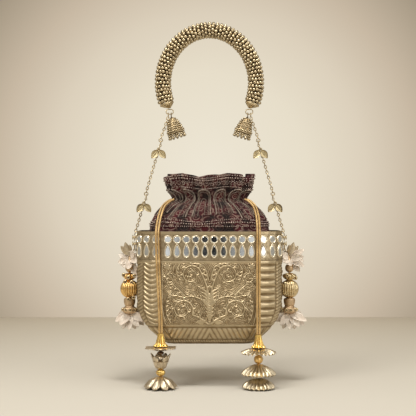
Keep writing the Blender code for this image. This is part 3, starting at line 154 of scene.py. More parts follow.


# Painted light: the wall's colour is a pool of light, bright in the middle and darker outwards, and it glows.
wall_corners = [(-3, WALL_Y, FLOOR_Z), (3, WALL_Y, FLOOR_Z), (3, WALL_Y, 2.2), (-3, WALL_Y, 2.2)]
wall_light_pool_stops = ((0.0, (0.85, 0.79, 0.66)), (0.35, (0.80, 0.73, 0.59)), (0.56, (0.715, 0.63, 0.50)),
              (0.75, (0.58, 0.485, 0.37)), (1.0, (0.34, 0.28, 0.20)))
studio_sheet("wall", wall_corners, wall_light_pool_stops, ((0, 0, 0.25), (2.1, 0.0, 2.1)), True)
# Painted light: the floor's colour is lighter in the middle and darker outwards, a painted pool of light.
floor_corners = [(-3, -2.2, FLOOR_Z), (3, -2.2, FLOOR_Z), (3, WALL_Y, FLOOR_Z), (-3, WALL_Y, FLOOR_Z)]
floor_light_pool_stops = ((0.0, (0.60, 0.575, 0.525)), (0.5, (0.58, 0.545, 0.475)), (1.0, (0.46, 0.41, 0.33)))
studio_sheet("floor", floor_corners, floor_light_pool_stops, ((0, 0, 0), (1.5, 0.9, 1.0)), False)

# Painted reflection: this glowing card of white, grey and near-black steps is seen only in reflections, and
# sets the tones that the front mirrors show.
card_corners = [(0.12, -1.30, -0.36), (-0.12, -1.30, -0.36), (-0.12, -1.30, -0.12), (0.12, -1.30, -0.12)]
reflection_card_stops = (
    (0.0, (0.80, 0.80, 0.78)), (0.17, (0.80, 0.80, 0.78)), (0.19, (0.36, 0.36, 0.35)),
    (0.345, (0.33, 0.33, 0.32)), (0.36, (0.075, 0.075, 0.075)), (0.42, (0.05, 0.05, 0.05)),
    (0.435, (0.008, 0.008, 0.008)), (0.665, (0.008, 0.008, 0.008)), (0.685, (0.34, 0.34, 0.33)),
    (0.84, (0.37, 0.37, 0.36)), (0.86, (0.90, 0.90, 0.88)),
)
card = studio_sheet("dark_card", card_corners, reflection_card_stops, ((0.5, 0, 0), (4.167, 0.0, 0.0)), True)
card.visible_camera = False
card.visible_diffuse = False
card.visible_shadow = False

world = bpy.data.worlds.new("room")
scene.world = world
world.use_nodes = True
room = world.node_tree
room.nodes.clear()
direction = add_node(room, "ShaderNodeTexCoord").outputs["Generated"]
height = add_node(room, "ShaderNodeSeparateXYZ", {"Vector": direction}).outputs["Z"]
room_colour = ramp_between(room, ranged(room, height, -1.0, 1.0), (
    (0.0, (0.30, 0.26, 0.20)), (0.42, (0.46, 0.42, 0.35)),
    (0.56, (0.62, 0.58, 0.50)), (1.0, (0.95, 0.92, 0.86)),
))
background = add_node(room, "ShaderNodeBackground", {"Color": room_colour, "Strength": 0.75})
room_output = room.nodes.new("ShaderNodeOutputWorld")
room.links.new(background.outputs[0], room_output.inputs["Surface"])

for name, place, size, power in (
    ("key_lamp", (-0.75, -0.95, 0.75), 0.6, 9.5),
    ("fill_lamp", (0.95, -0.80, 0.15), 0.9, 4.5),
    ("top_lamp", (0.02, -0.38, 1.00), 0.35, 9.0),
):
    lamp = bpy.data.lights.new(name, "AREA")
    lamp.size = size
    lamp.energy = power
    lamp.color = (1.0, 0.97, 0.92)
    holder = add_object(name, lamp)
    holder.location = place
    holder.rotation_euler = (Vector((0, 0, -0.2)) - Vector(place)).to_track_quat("-Z", "Y").to_euler()

lens = bpy.data.cameras.new("camera")
lens.lens = 97
lens.sensor_width = 36
camera = add_object("camera", lens)
camera.location = CAMERA_PLACE
camera.rotation_euler = (math.pi / 2, 0, 0)
scene.camera = camera


# Drawstring. Two golden cords cross inside the neck, so two strands come out on each side, fall over
# the rim and hang before the basket into the tassels. Each is two plies of metallic yarn, twisted.
CORD_DIAMETER = 0.0023
CORD_TWIST = 1500.0
PLY_DEPTH = 0.24
CORD_ROUTES = {
    "cord_left_outer": (
        (-0.0402, -0.0080, -0.1723), (-0.0450, -0.0105, -0.1748), (-0.0499, -0.0160, -0.1800),
        (-0.0532, -0.0270, -0.1895), (-0.0547, -0.0385, -0.1990), (-0.0552, -0.0452, -0.2052),
        (-0.0553, -0.0474, -0.2120), (-0.0550, -0.0478, -0.2220), (-0.0542, -0.0478, -0.2450),
        (-0.0530, -0.0478, -0.2700), (-0.0520, -0.0478, -0.2900), (-0.0516, -0.0478, -0.31028),
    ),
    "cord_left_inner": (
        (-0.0376, -0.0125, -0.1723), (-0.0424, -0.0152, -0.1750), (-0.0473, -0.0210, -0.1803),
        (-0.0505, -0.0305, -0.1898), (-0.0520, -0.0400, -0.1993), (-0.0526, -0.0455, -0.2053),
        (-0.0527, -0.0475, -0.2120), (-0.0524, -0.0478, -0.2220), (-0.0515, -0.0478, -0.2450),
        (-0.0504, -0.0478, -0.2700), (-0.0494, -0.0478, -0.2900), (-0.0490, -0.0478, -0.31028),
    ),
    "cord_right_outer": (
        (0.0402, -0.0080, -0.1723), (0.0447, -0.0108, -0.1750), (0.0490, -0.0170, -0.1805),
        (0.0513, -0.0285, -0.1900), (0.0518, -0.0392, -0.1992), (0.0518, -0.0454, -0.2052),
        (0.0517, -0.0475, -0.2120), (0.0516, -0.0478, -0.2220), (0.0515, -0.0478, -0.2450),
        (0.0515, -0.0478, -0.2700), (0.0516, -0.0478, -0.2900), (0.0516, -0.0478, -0.31148),
    ),
    "cord_right_inner": (
        (0.0376, -0.0125, -0.1723), (0.0421, -0.0155, -0.1752), (0.0464, -0.0220, -0.1808),
        (0.0487, -0.0320, -0.1903), (0.0492, -0.0408, -0.1995), (0.0492, -0.0456, -0.2053),
        (0.0491, -0.0475, -0.2120), (0.0490, -0.0478, -0.2220), (0.0489, -0.0478, -0.2450),
        (0.0489, -0.0478, -0.2700), (0.0490, -0.0478, -0.2900), (0.0490, -0.0478, -0.31148),
    ),
}
STRAND_SPACING = 0.0006


def around(count):
    """Angles that share a turn evenly."""
    return [2 * math.pi * k / count for k in range(count)]


def spoke(angle, first, second):
    """The direction at an angle from the first axis to the second."""
    return math.cos(angle) * first + math.sin(angle) * second


def run_along(points):
    """How far each point lies along the line through them."""
    return np.concatenate([[0], np.cumsum(np.linalg.norm(np.diff(points, axis=0), axis=1))])


def surface(rows, ends=False, closed=False):
    """Points and faces through rows of points, each row wrapped round on itself."""
    rows = np.asarray(rows, dtype=float)
    count, width = rows.shape[:2]
    index = np.arange(count * width).reshape(count, width)
    after = np.roll(index, -1, axis=0) if closed else index[1:]
    before = index if closed else index[:-1]
    quads = np.stack([before, np.roll(before, -1, 1), np.roll(after, -1, 1), after], axis=-1)
    faces = quads.reshape(-1, 4).tolist()
    if ends:
        faces += [index[0][::-1].tolist(), index[-1].tolist()]
    return rows.reshape(-1, 3), faces


def solid_mesh(name, surfaces, sharp=None):
    """A mesh of closed surfaces, smooth, with its faces turned outwards."""
    points, faces, start = [], [], 0
    for part_points, part_faces in surfaces:
        points.append(part_points)
        faces += [[start + i for i in face] for face in part_faces]
        start += len(part_points)
    mesh = bpy.data.meshes.new(name)
    mesh.from_pydata(np.concatenate(points).tolist(), [], faces)
    bm = bmesh.new()
    bm.from_mesh(mesh)
    bmesh.ops.recalc_face_normals(bm, faces=bm.faces)
    bm.to_mesh(mesh)
    bm.free()
    mesh.shade_smooth()
    if sharp:
        mesh.set_sharp_from_angle(angle=math.radians(sharp))
    return mesh


def seat(piece, body, replaced=()):
    """Let a piece ride on its body and stand for its CAD nodes."""
    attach(piece, body)
    if replaced:
        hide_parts(*replaced)


def build(name, surfaces, finish, body, replaced=(), sharp=None):
    """One piece from closed surfaces, riding on its body; edges past the sharp angle stay crisp."""
    mesh = solid_mesh(name, surfaces, sharp)
    mesh.materials.append(finish)
    piece = add_object(name, mesh)
    seat(piece, body, replaced)
    return piece


def curve_between(a, b, c, d, t):
    """The place a share t of the way from b to c on a smooth curve past all four."""
    return 0.5 * (2 * b + (c - a) * t + (2 * a - 5 * b + 4 * c - d) * t**2 + (3 * b - a - 3 * c + d) * t**3)


def smooth_path(points, spacing):
    """Evenly spaced points, and their directions, along a smooth curve through the given points."""
    points = [Vector(p) for p in points]
    padded = [2 * points[0] - points[1], *points, 2 * points[-1] - points[-2]]
    fours = zip(padded, padded[1:], padded[2:], padded[3:])
    fine = [curve_between(*four, i / 16) for four in fours for i in range(16)]
    fine = np.array([*fine, points[-1]])
    run = run_along(fine)
    even = np.linspace(0, run[-1], max(3, round(run[-1] / spacing)))
    path = np.stack([np.interp(even, run, fine[:, i]) for i in range(3)], axis=1)
    return path, np.gradient(path, axis=0)


def tube(path, directions, radius, sides, plies=0, twist=0.0):
    """A tube along a path. With plies, its outline has that many lobes and twists along it."""
    first = Vector(directions[0]).normalized()
    side_axis = Vector((0, 1, 0)) if abs(first.y) < 0.9 else Vector((1, 0, 0))
    rows = []
    for point, direction, travelled in zip(path, directions, run_along(path)):
        ahead = Vector(direction).normalized()
        side_axis = (side_axis - side_axis.dot(ahead) * ahead).normalized()
        up_axis = ahead.cross(side_axis)
        row = []
        for angle in around(sides):
            groove = PLY_DEPTH * (0.5 - 0.5 * math.cos(plies * (angle - twist * travelled))) if plies else 0.0
            row.append(Vector(point) + radius * (1.0 - groove) * spoke(angle, side_axis, up_axis))
        rows.append(row)
    return surface(rows, ends=True)


def speckle(tree, place, scale, detail):
    """Noise of a scale over a place."""
    sockets = {"Vector": place, "Scale": scale, "Detail": detail}
    return add_node(tree, "ShaderNodeTexNoise", sockets).outputs["Fac"]


def bumped(tree, height, strength, distance=0.0002):
    """A surface direction that follows a height."""
    sockets = {"Height": height, "Strength": strength, "Distance": distance}
    return add_node(tree, "ShaderNodeBump", sockets).outputs["Normal"]


def end_in(tree, output, sockets):
    """End a material in a Principled shader with the given sockets."""
    shader = add_node(tree, "ShaderNodeBsdfPrincipled", sockets)
    tree.links.new(shader.outputs[0], output.inputs["Surface"])


golden_yarn, tree, output = new_material("golden_yarn")
yarn_place = own_place(tree)
fibres = speckle(tree, yarn_place, 2600.0, 4.0)
yarn_tone = ranged(tree, maths(tree, "ADD", fibres, speckle(tree, yarn_place, 90.0, 2.0)), 0.7, 1.3)
end_in(tree, output, {
    "Base Color": ramp_between(tree, yarn_tone, ((0.1, (0.34, 0.20, 0.065)), (0.9, (0.68, 0.46, 0.20)))),
    "Roughness": 0.42, "Metallic": 0.25, "Normal": bumped(tree, fibres, 0.35),
})
strands = {}
for name, route in CORD_ROUTES.items():
    path, directions = smooth_path(route, STRAND_SPACING)
    twisted = tube(path, directions, CORD_DIAMETER / 2, 14, 2, CORD_TWIST)
    strand = build(f"{name}_strand", [twisted], golden_yarn, "basket", [name])
    strands[name] = (strand, path)


# Beaded grip. A bent metal tube is wound with strung metallised balls, twelve to a turn, each row set
# half a ball round from the last. A pressed cup with a bead line closes each end; a wire eye is
# soldered under its tip.
GRIP_HALF_WIDTH = 0.0498
GRIP_RISE = 0.0564
GRIP_DIAMETER = 0.0175
GRIP_TUCK = math.radians(22)
BALL_DIAMETER = 0.0039
BALL_ROW = 0.0038
BALLS_AROUND = 12
BALL_SLACK = 0.05
BALL_SLIP = 0.0004
BALL_PROUD = 0.0003
CAP_LENGTH = 0.0060
CAP_TIP_SHIFT = 0.0015
CAP_PROFILE = (
    # height along the cap, radius
    (0.0, 0.0070), (0.0003, 0.0076), (0.0012, 0.0076), (0.0016, 0.0071), (0.0022, 0.0067),
    (0.0034, 0.0056), (0.0046, 0.0036), (0.0055, 0.0020), (0.0060, 0.0014),
)
CAP_BEADS = 28
CAP_BEAD = 0.0012
EYE_PLACE = (0.04256, -0.07858)
WIRE = 0.0010
GAP = 0.0003
SIDES = (("left", -1), ("right", 1))
DOWN = Vector((0, 0, -1))
BACK = Vector((0, 1, 0))
ACROSS = Vector((1, 0, 0))
UNTURNED = Matrix.Identity(3)
grip_centre = Vector((0, 0, GRIP_DIAMETER / 2 - GRIP_RISE))
end_slope = Vector((-GRIP_HALF_WIDTH * math.sin(GRIP_TUCK), 0, -GRIP_RISE * math.cos(GRIP_TUCK))).normalized()


def mixed(tree, share, first, second):
    """A colour mixed from two by a share."""
    return add_node(tree, "ShaderNodeMix", {0: share, 6: first, 7: second}, data_type="RGBA").outputs[2]


def metal_group():
    """Aged metal: tarnish in patches and hollows, a fine grain, and duller where it is dark."""
    group = bpy.data.node_groups.new("Aged metal", "ShaderNodeTree")
    for label, kind, value in (
        ("Bright", "Color", (0.8, 0.6, 0.3, 1)), ("Dark", "Color", (0.2, 0.1, 0.05, 1)),
        ("Patch size", "Float", 0.010), ("Patches", "Float", 0.4), ("Recess", "Float", 0.0),
        ("Gloss", "Float", 0.3),
    ):
        socket = group.interface.new_socket(label, in_out="INPUT", socket_type=f"NodeSocket{kind}")
        socket.default_value = value
    for label, kind in (("Colour", "Color"), ("Roughness", "Float"), ("Height", "Float")):
        group.interface.new_socket(label, in_out="OUTPUT", socket_type=f"NodeSocket{kind}")
    given = group.nodes.new("NodeGroupInput").outputs
    place = own_place(group)
    patches = speckle(group, place, maths(group, "DIVIDE", 1.0, given["Patch size"]), 5.0)
    stained = maths(group, "MULTIPLY", ranged(group, patches, 0.42, 0.75), given["Patches"])
    total = maths(group, "ADD", stained, given["Recess"], clamp=True)
    out = group.nodes.new("NodeGroupOutput")
    group.links.new(mixed(group, total, given["Bright"], given["Dark"]), out.inputs["Colour"])
    group.links.new(maths(group, "MULTIPLY_ADD", total, 0.25, given["Gloss"]), out.inputs["Roughness"])
    group.links.new(speckle(group, place, 1400.0, 3.0), out.inputs["Height"])
    return group


aged_metal = metal_group()


def metal(name, bright, dark, gloss=0.28, patch=0.012, patches=0.5, recess=False, grain=0.12):
    """A gold-toned metal; with recess, it darkens by the piece's own recess attribute."""
    material, tree, output = new_material(name)
    aged = tree.nodes.new("ShaderNodeGroup")
    aged.node_tree = aged_metal
    for label, value in (("Bright", (*bright, 1)), ("Dark", (*dark, 1)), ("Patch size", patch),
                         ("Patches", patches), ("Gloss", gloss)):
        aged.inputs[label].default_value = value
    if recess:
        hollow = add_node(tree, "ShaderNodeAttribute", attribute_name="recess")
        tree.links.new(hollow.outputs["Fac"], aged.inputs["Recess"])
    end_in(tree, output, {
        "Base Color": aged.outputs["Colour"], "Roughness": aged.outputs["Roughness"], "Metallic": 1.0,
        "Normal": bumped(tree, aged.outputs["Height"], grain),
    })
    return material


def copies_tree():
    """Geometry nodes that set a pattern on points, each turned and sized by the point's attributes."""
    tree = bpy.data.node_groups.new("copies_on_points", "GeometryNodeTree")
    for label, kind in (
        ("Points", "Geometry"), ("Pattern", "Object"), ("Size", "Float"), ("Finish", "Material"),
    ):
        tree.interface.new_socket(label, in_out="INPUT", socket_type=f"NodeSocket{kind}")
    tree.interface.new_socket("Pieces", in_out="OUTPUT", socket_type="NodeSocketGeometry")
    given = tree.nodes.new("NodeGroupInput").outputs
    shape = add_node(tree, "GeometryNodeObjectInfo", {"Object": given["Pattern"]}).outputs["Geometry"]
    turn = add_node(tree, "GeometryNodeInputNamedAttribute", {"Name": "turn"}, data_type="FLOAT_VECTOR")
    size = add_node(tree, "GeometryNodeInputNamedAttribute", {"Name": "size"}, data_type="FLOAT_VECTOR")
    sized = {0: size.outputs["Attribute"], "Scale": given["Size"]}
    scaled = add_node(tree, "ShaderNodeVectorMath", sized, operation="SCALE")
    set_down = add_node(tree, "GeometryNodeInstanceOnPoints", {
        "Points": given["Points"], "Instance": shape, "Rotation": turn.outputs["Attribute"],
        "Scale": scaled.outputs["Vector"],
    })
    solid = add_node(tree, "GeometryNodeRealizeInstances", {"Geometry": set_down.outputs["Instances"]})
    finished = add_node(tree, "GeometryNodeSetMaterial", {
        "Geometry": solid.outputs["Geometry"], "Material": given["Finish"],
    })
    out = tree.nodes.new("NodeGroupOutput")
    tree.links.new(finished.outputs["Geometry"], out.inputs["Pieces"])
    return tree


copies_on_points = copies_tree()


def set_inputs(modifier, **values):
    """Set a geometry modifier's named inputs by their sockets' identifiers."""
    for item in modifier.node_group.interface.items_tree:
        if item.name in values:
            modifier[item.identifier] = values[item.name]


def plain_copy(name, source):
    """The evaluated object as a plain mesh object, and the source removed."""
    graph = bpy.context.evaluated_depsgraph_get()
    mesh = bpy.data.meshes.new_from_object(source.evaluated_get(graph))
    mesh.name = name
    bpy.data.objects.remove(source, do_unlink=True)
    return add_object(name, mesh)


def copies(name, spots, pattern, finish, body, replaced=()):
    """Copies of a pattern at spots; a spot is a place, a 3x3 turn and a size for each axis."""
    mesh = bpy.data.meshes.new(f"{name}_spots")
    mesh.from_pydata([tuple(place) for place, _, _ in spots], [], [])
    for label, values in (
        ("turn", [tuple(turn.to_euler()) for _, turn, _ in spots]),
        ("size", [tuple(np.broadcast_to(spot_size, 3)) for _, _, spot_size in spots]),
    ):
        mesh.attributes.new(label, "FLOAT_VECTOR", "POINT").data.foreach_set("vector", np.ravel(values))
    holder = add_object(f"{name}_spots", mesh)
    modifier = holder.modifiers.new("Copies", "NODES")
    modifier.node_group = copies_on_points
    set_inputs(modifier, Pattern=pattern, Size=1.0, Finish=finish)
    piece = plain_copy(name, holder)
    seat(piece, body, replaced)
    return piece


patterns = []


def pattern_object(name, surfaces, sharp=None):
    """A small mesh that copies() repeats; it is removed at the end."""
    pattern = add_object(name, solid_mesh(name, surfaces, sharp))
    patterns.append(pattern)
    return pattern


def ball_pattern(name, divisions):
    """A ball of unit diameter."""
    bm = bmesh.new()
    bmesh.ops.create_icosphere(bm, subdivisions=divisions, radius=0.5)
    points = np.array([tuple(v.co) for v in bm.verts])
    faces = [[v.index for v in face.verts] for face in bm.faces]
    bm.free()
    return pattern_object(name, [(points, faces)])


def ring_of_balls(centre, axis, radius, count, size):
    """Spots for balls round a ring across an axis."""
    side_axis = axis.cross(BACK)
    return [(centre + radius * spoke(angle, BACK, side_axis), UNTURNED, size) for angle in around(count)]


def lathe(top, axis, profile, sides, ridge=None):
    """A turned form: profile pairs are height along the axis and radius; ridge(angle, i) scales one."""
    axis = Vector(axis).normalized()
    second = axis.cross(BACK)
    rows = []
    for i, (height_along, radius) in enumerate(profile):
        middle = Vector(top) + height_along * axis
        row = []
        for angle in around(sides):
            reach = radius * (ridge(angle, i) if ridge else 1.0)
            row.append(middle + reach * spoke(angle, BACK, second))
        rows.append(row)
    return surface(rows, ends=True)


def wire_loop(points, normal, radius, sides=8):
    """A closed flat loop of round wire through the points."""
    middle = sum(points, Vector()) / len(points)
    rows = []
    for i, point in enumerate(points):
        ahead = (points[(i + 1) % len(points)] - points[i - 1]).normalized()
        out = ahead.cross(normal).normalized()
        if out.dot(point - middle) < 0:
            out = -out
        rows.append([point + radius * spoke(angle, out, normal) for angle in around(sides)])
    return surface(rows, closed=True)


def oval(centre, first, second, half_first, half_second, count=20, power=2.0):
    """Points round an oval; a power above 2 squares it."""
    points = []
    for angle in around(count):
        c, s = math.cos(angle), math.sin(angle)
        reach = (abs(c) ** power + abs(s) ** power) ** (-1 / power)
        points.append(centre + reach * (half_first * c * first + half_second * s * second))
    return points


def wire_ring(centre, radius, count):
    """A round wire ring on which a piece swings to the front and the back."""
    return wire_loop(oval(centre, BACK, DOWN, radius, radius, count), ACROSS, WIRE / 2)


def round_profile(points, steps=6):
    """A profile with a smooth curve through its points."""
    fine = []
    padded = [points[0], *points, points[-1]]
    for four in zip(padded, padded[1:], padded[2:], padded[3:]):
        fine += [tuple(curve_between(*numbers, i / steps) for numbers in zip(*four)) for i in range(steps)]
    return [*fine, points[-1]]


ball_gold = metal("ball_gold", (0.60, 0.50, 0.33), (0.26, 0.19, 0.10), 0.26, 0.005, 0.7)
# Painted shade: the tube under the balls is near black, so the gaps between the balls show as shade.
gap_shade_core = metal("gap_shade_core", (0.05, 0.035, 0.02), (0.012, 0.008, 0.005), 0.6, 0.01, 0.6)
antique_gold = metal("antique_gold", (0.66, 0.54, 0.34), (0.22, 0.155, 0.08), 0.32, 0.006, 0.6)
bright_gold = metal("bright_gold", (0.86, 0.60, 0.20), (0.48, 0.29, 0.08), 0.24, 0.010, 0.45)
leaf_gold = metal("leaf_gold", (0.62, 0.52, 0.32), (0.28, 0.21, 0.11), 0.36, 0.004, 0.6)
small_ball = ball_pattern("small_ball", 2)

table_angles = np.linspace(math.pi + GRIP_TUCK, -GRIP_TUCK, 401)
arch = np.stack([GRIP_HALF_WIDTH * np.cos(table_angles), 0 * table_angles,
                 grip_centre.z + GRIP_RISE * np.sin(table_angles)], axis=1)
arch_run = run_along(arch)
ball_rows = round(arch_run[-1] / BALL_ROW)
draw = random.Random(4)
spots = []
for row in range(ball_rows):
    angle_here = float(np.interp((row + 0.5) / ball_rows * arch_run[-1], arch_run, table_angles))
    c, s = math.cos(angle_here), math.sin(angle_here)
    middle = Vector((GRIP_HALF_WIDTH * c, 0, grip_centre.z + GRIP_RISE * s))
    ahead = Vector((-GRIP_HALF_WIDTH * s, 0, GRIP_RISE * c)).normalized()
    outward = Vector((ahead.z, 0, -ahead.x))
    for ball in range(BALLS_AROUND):
        angle = math.pi * (2 * ball + row % 2) / BALLS_AROUND + BALL_SLACK * draw.uniform(-1, 1)
        slip = draw.uniform(-BALL_SLIP, BALL_SLIP)
        reach = (GRIP_DIAMETER - BALL_DIAMETER) / 2 + BALL_PROUD
        spots.append((middle + reach * spoke(angle, outward, BACK) + slip * ahead, UNTURNED, BALL_DIAMETER))
copies("grip_balls", spots, small_ball, ball_gold, "handle", ["beaded_grip"])
# The core's near-black colour is painted shade in the gaps between the balls.
core_path = arch[4:-4:4]
core = tube(core_path, np.gradient(core_path, axis=0), GRIP_DIAMETER / 2 - 0.55 * BALL_DIAMETER, 24)
build("grip_core", [core], gap_shade_core, "handle", ["beaded_grip"])

for side, sign in SIDES:
    slope = Vector((sign * end_slope.x, 0, end_slope.z))
    end_x = sign * GRIP_HALF_WIDTH * math.cos(GRIP_TUCK)
    end_z = grip_centre.z - GRIP_RISE * math.sin(GRIP_TUCK)
    base = Vector((end_x, 0, end_z)) + GAP * slope
    points, faces = lathe(base, slope, round_profile(CAP_PROFILE, 5), 48)
    shift = np.clip((points - np.array(base)) @ np.array(slope) / CAP_LENGTH, 0, 1) ** 2
    points[:, 0] -= sign * CAP_TIP_SHIFT * shift
    build(f"end_cup_{side}", [(points, faces)], antique_gold, "handle", [f"end_cap_{side}"],
          50)
    edge_balls = ring_of_balls(base + 0.0017 * slope, slope, 0.0071, CAP_BEADS, CAP_BEAD)
    copies(f"end_cup_beads_{side}", edge_balls, small_ball, antique_gold, "handle", ())
    eye_middle = Vector((sign * EYE_PLACE[0], 0, EYE_PLACE[1]))
    eye = oval(eye_middle, ACROSS, DOWN, 0.0038, 0.0026, 28, 2.8)
    build(f"eye_loop_{side}", [wire_loop(eye, BACK, WIRE / 2, 10)], antique_gold, "handle",
          [f"eye_ring_{side}"])


# Bell charms. Each jhumka is a dark spun dome with pressed ribs and a soldered ring, sewn round with
# rows of small balls; a fringe of larger balls hangs from its rim. It swings beside the chain.
BELL_HEIGHT = 0.0180
BELL_LEAN = math.radians(17)
BAR_Z = -0.08118
RING_RADIUS = 0.0022
RING_SEAT = 0.0009
BELL_X = 0.04096
BELL_OUTSIDE = round_profile((
    # height along the bell, radius
    (0.0002, 0.0009), (0.0012, 0.0022), (0.0030, 0.0044), (0.0062, 0.0061), (0.0108, 0.0076),
    (0.0148, 0.0086), (0.0158, 0.0090), (0.0172, 0.0090), (0.0180, 0.0088),
), 5)
BELL_INSIDE = [(0.0179, 0.0082), (0.0158, 0.0080), (0.0112, 0.0064), (0.0062, 0.0038), (0.0034, 0.0016)]
BELL_BEAD_ROWS = (
    # height along the bell, radius, number, size
    (0.0022, 0.0038, 16, 0.0015), (0.0044, 0.0055, 24, 0.0014), (0.0066, 0.0065, 24, 0.0018),
    (0.0088, 0.0072, 34, 0.0013), (0.0109, 0.0078, 28, 0.0018), (0.0131, 0.0084, 40, 0.0013),
    (0.0153, 0.0091, 32, 0.0018), (0.0172, 0.0092, 42, 0.0013),
)
FRINGE_BALLS = 24


def bell_rib(angle, i):
    """Pressed ribs between the bell's crown and its rim."""
    return 1.0 + (0.035 * abs(math.cos(9 * angle)) ** 0.7 - 0.02 if 5 < i < len(BELL_OUTSIDE) - 8 else 0.0)


dome_gold = metal("dome_gold", (0.34, 0.26, 0.15), (0.09, 0.06, 0.03), 0.36, 0.004, 0.6)
for side, sign in SIDES:
    body = f"jhumka_{side}"
    hinge = Vector((sign * BELL_X, 0, BAR_Z))
    lean = Vector((-sign * math.sin(BELL_LEAN), 0, -math.cos(BELL_LEAN)))
    top = hinge + (RING_SEAT + RING_RADIUS) * DOWN
    dome = lathe(top, lean, BELL_OUTSIDE + BELL_INSIDE, 72, bell_rib)
    ring = wire_ring(hinge + RING_SEAT * DOWN, RING_RADIUS, 20)
    build(f"jhumka_bell_{side}", [dome, ring], dome_gold, body, [f"jhumka_dome_{side}"], 60)
    beads = []
    for drop, reach, count, size in BELL_BEAD_ROWS:
        beads += ring_of_balls(top + drop * lean, lean, reach, count, size)
    copies(f"jhumka_beading_{side}", beads, small_ball, ball_gold, body, ())
    rim = top + (BELL_HEIGHT + GAP) * lean
    fringe = ring_of_balls(rim + 0.0011 * lean, lean, 0.0087, FRINGE_BALLS, 0.0019)
    fringe += ring_of_balls(rim + 0.0040 * lean, lean, 0.0086, FRINGE_BALLS, 0.0028)[::2]
    fringe += ring_of_balls(rim + 0.0028 * lean, lean, 0.0086, FRINGE_BALLS, 0.0017)[1::2]
    copies(f"jhumka_fringe_balls_{side}", fringe, small_ball, ball_gold, body, [f"jhumka_fringe_{side}"])
    clapper = [(rim + 0.0008 * lean, UNTURNED, 0.0044)]
    copies(f"jhumka_clapper_{side}", clapper, small_ball, ball_gold, body, ())


# Chains. Oval cable chain of drawn brass wire in three lengths a side; the lengths meet where a
# stamped pair of cupped leaves hangs on a loop before the chain. Rings join them to eye and stud.
LINK_PITCH = 0.0030
LINK_LENGTH = 0.0044
LINK_WIDTH = 0.0033
LINK_WIRE = 0.00048
CHAIN_X = 0.04416
FIRST_SITE = (0.05218, -0.11068)
SECOND_SITE = (0.06779, -0.16808)
STUD = (0.0800, -0.21298)
SITE_SLOPE = 0.27193
LEAF_DROP = 0.0083
FOOT_LOOP_DROP = 0.0032
STUD_RING_RADIUS = 0.0026
STUD_RING_SEAT = 0.0006
LEAF_LENGTH = 0.0122
LEAF_WIDTH = 0.0070
LEAF_SPREAD = math.radians(38)
LEAF_THICKNESS = 0.0006

link_outline = oval(Vector(), ACROSS, -DOWN, LINK_WIDTH / 2 - LINK_WIRE, LINK_LENGTH / 2 - LINK_WIRE, 14, 2.3)
link = pattern_object("link", [wire_loop(link_outline, BACK, LINK_WIRE, 6)])


def chain_links(start, end):
    """Spots for links from one joint to another, each turned a quarter from the last."""
    along = (end - start).normalized()
    count = max(2, round((end - start).length / LINK_PITCH))
    spots = []
    upright = (-DOWN).rotation_difference(-along).to_matrix()
    for k in range(count):
        quarter = Matrix.Rotation(math.pi / 2 * (k % 2), 3, "Z")
        spots.append((start.lerp(end, (k + 0.5) / count), upright @ quarter, 1.0))
    return spots


def leaf_shell(hinge, outward, forward):
    """A cupped, pointed leaf with a midrib and side veins, hung by an eyelet at the hinge."""
    lean = outward * LEAF_SPREAD
    down = Vector((math.sin(lean), 0, -math.cos(lean)))
    right = Vector((math.cos(lean), 0, math.sin(lean)))
    rows = []
    steps, across = 26, 16
    for i in range(steps + 1):
        share = i / steps
        width = LEAF_WIDTH / 2 * math.sin(math.pi * min(1.0, share * 1.02) ** 0.85) ** 0.75 + 0.00012
        base = hinge + forward * -BACK + (0.0013 + share * (LEAF_LENGTH - 0.0013)) * down
        front, back = [], []
        for k in range(across + 1):
            t = -1 + 2 * k / across
            cup = 0.0016 * (1 - share * 0.5) * t**2 - 0.0008 * share**2
            vein = 0.00016 * math.cos(2 * math.pi * (share * 6.5 - abs(t) * 1.1)) * (1 - abs(t)) ** 0.3
            midrib = 0.00035 * math.exp(-((t / 0.12) ** 2))
            point = base + t * width * right
            front.append(point - (cup + vein + midrib + LEAF_THICKNESS / 2) * BACK)
            back.append(point - (cup - LEAF_THICKNESS / 2) * BACK)
        rows.append(front + back[::-1])
    eyelet = wire_loop(oval(hinge + forward * -BACK, right, down, 0.00145, 0.00145, 18), BACK, 0.00042)
    return [surface(rows, ends=True), eyelet]


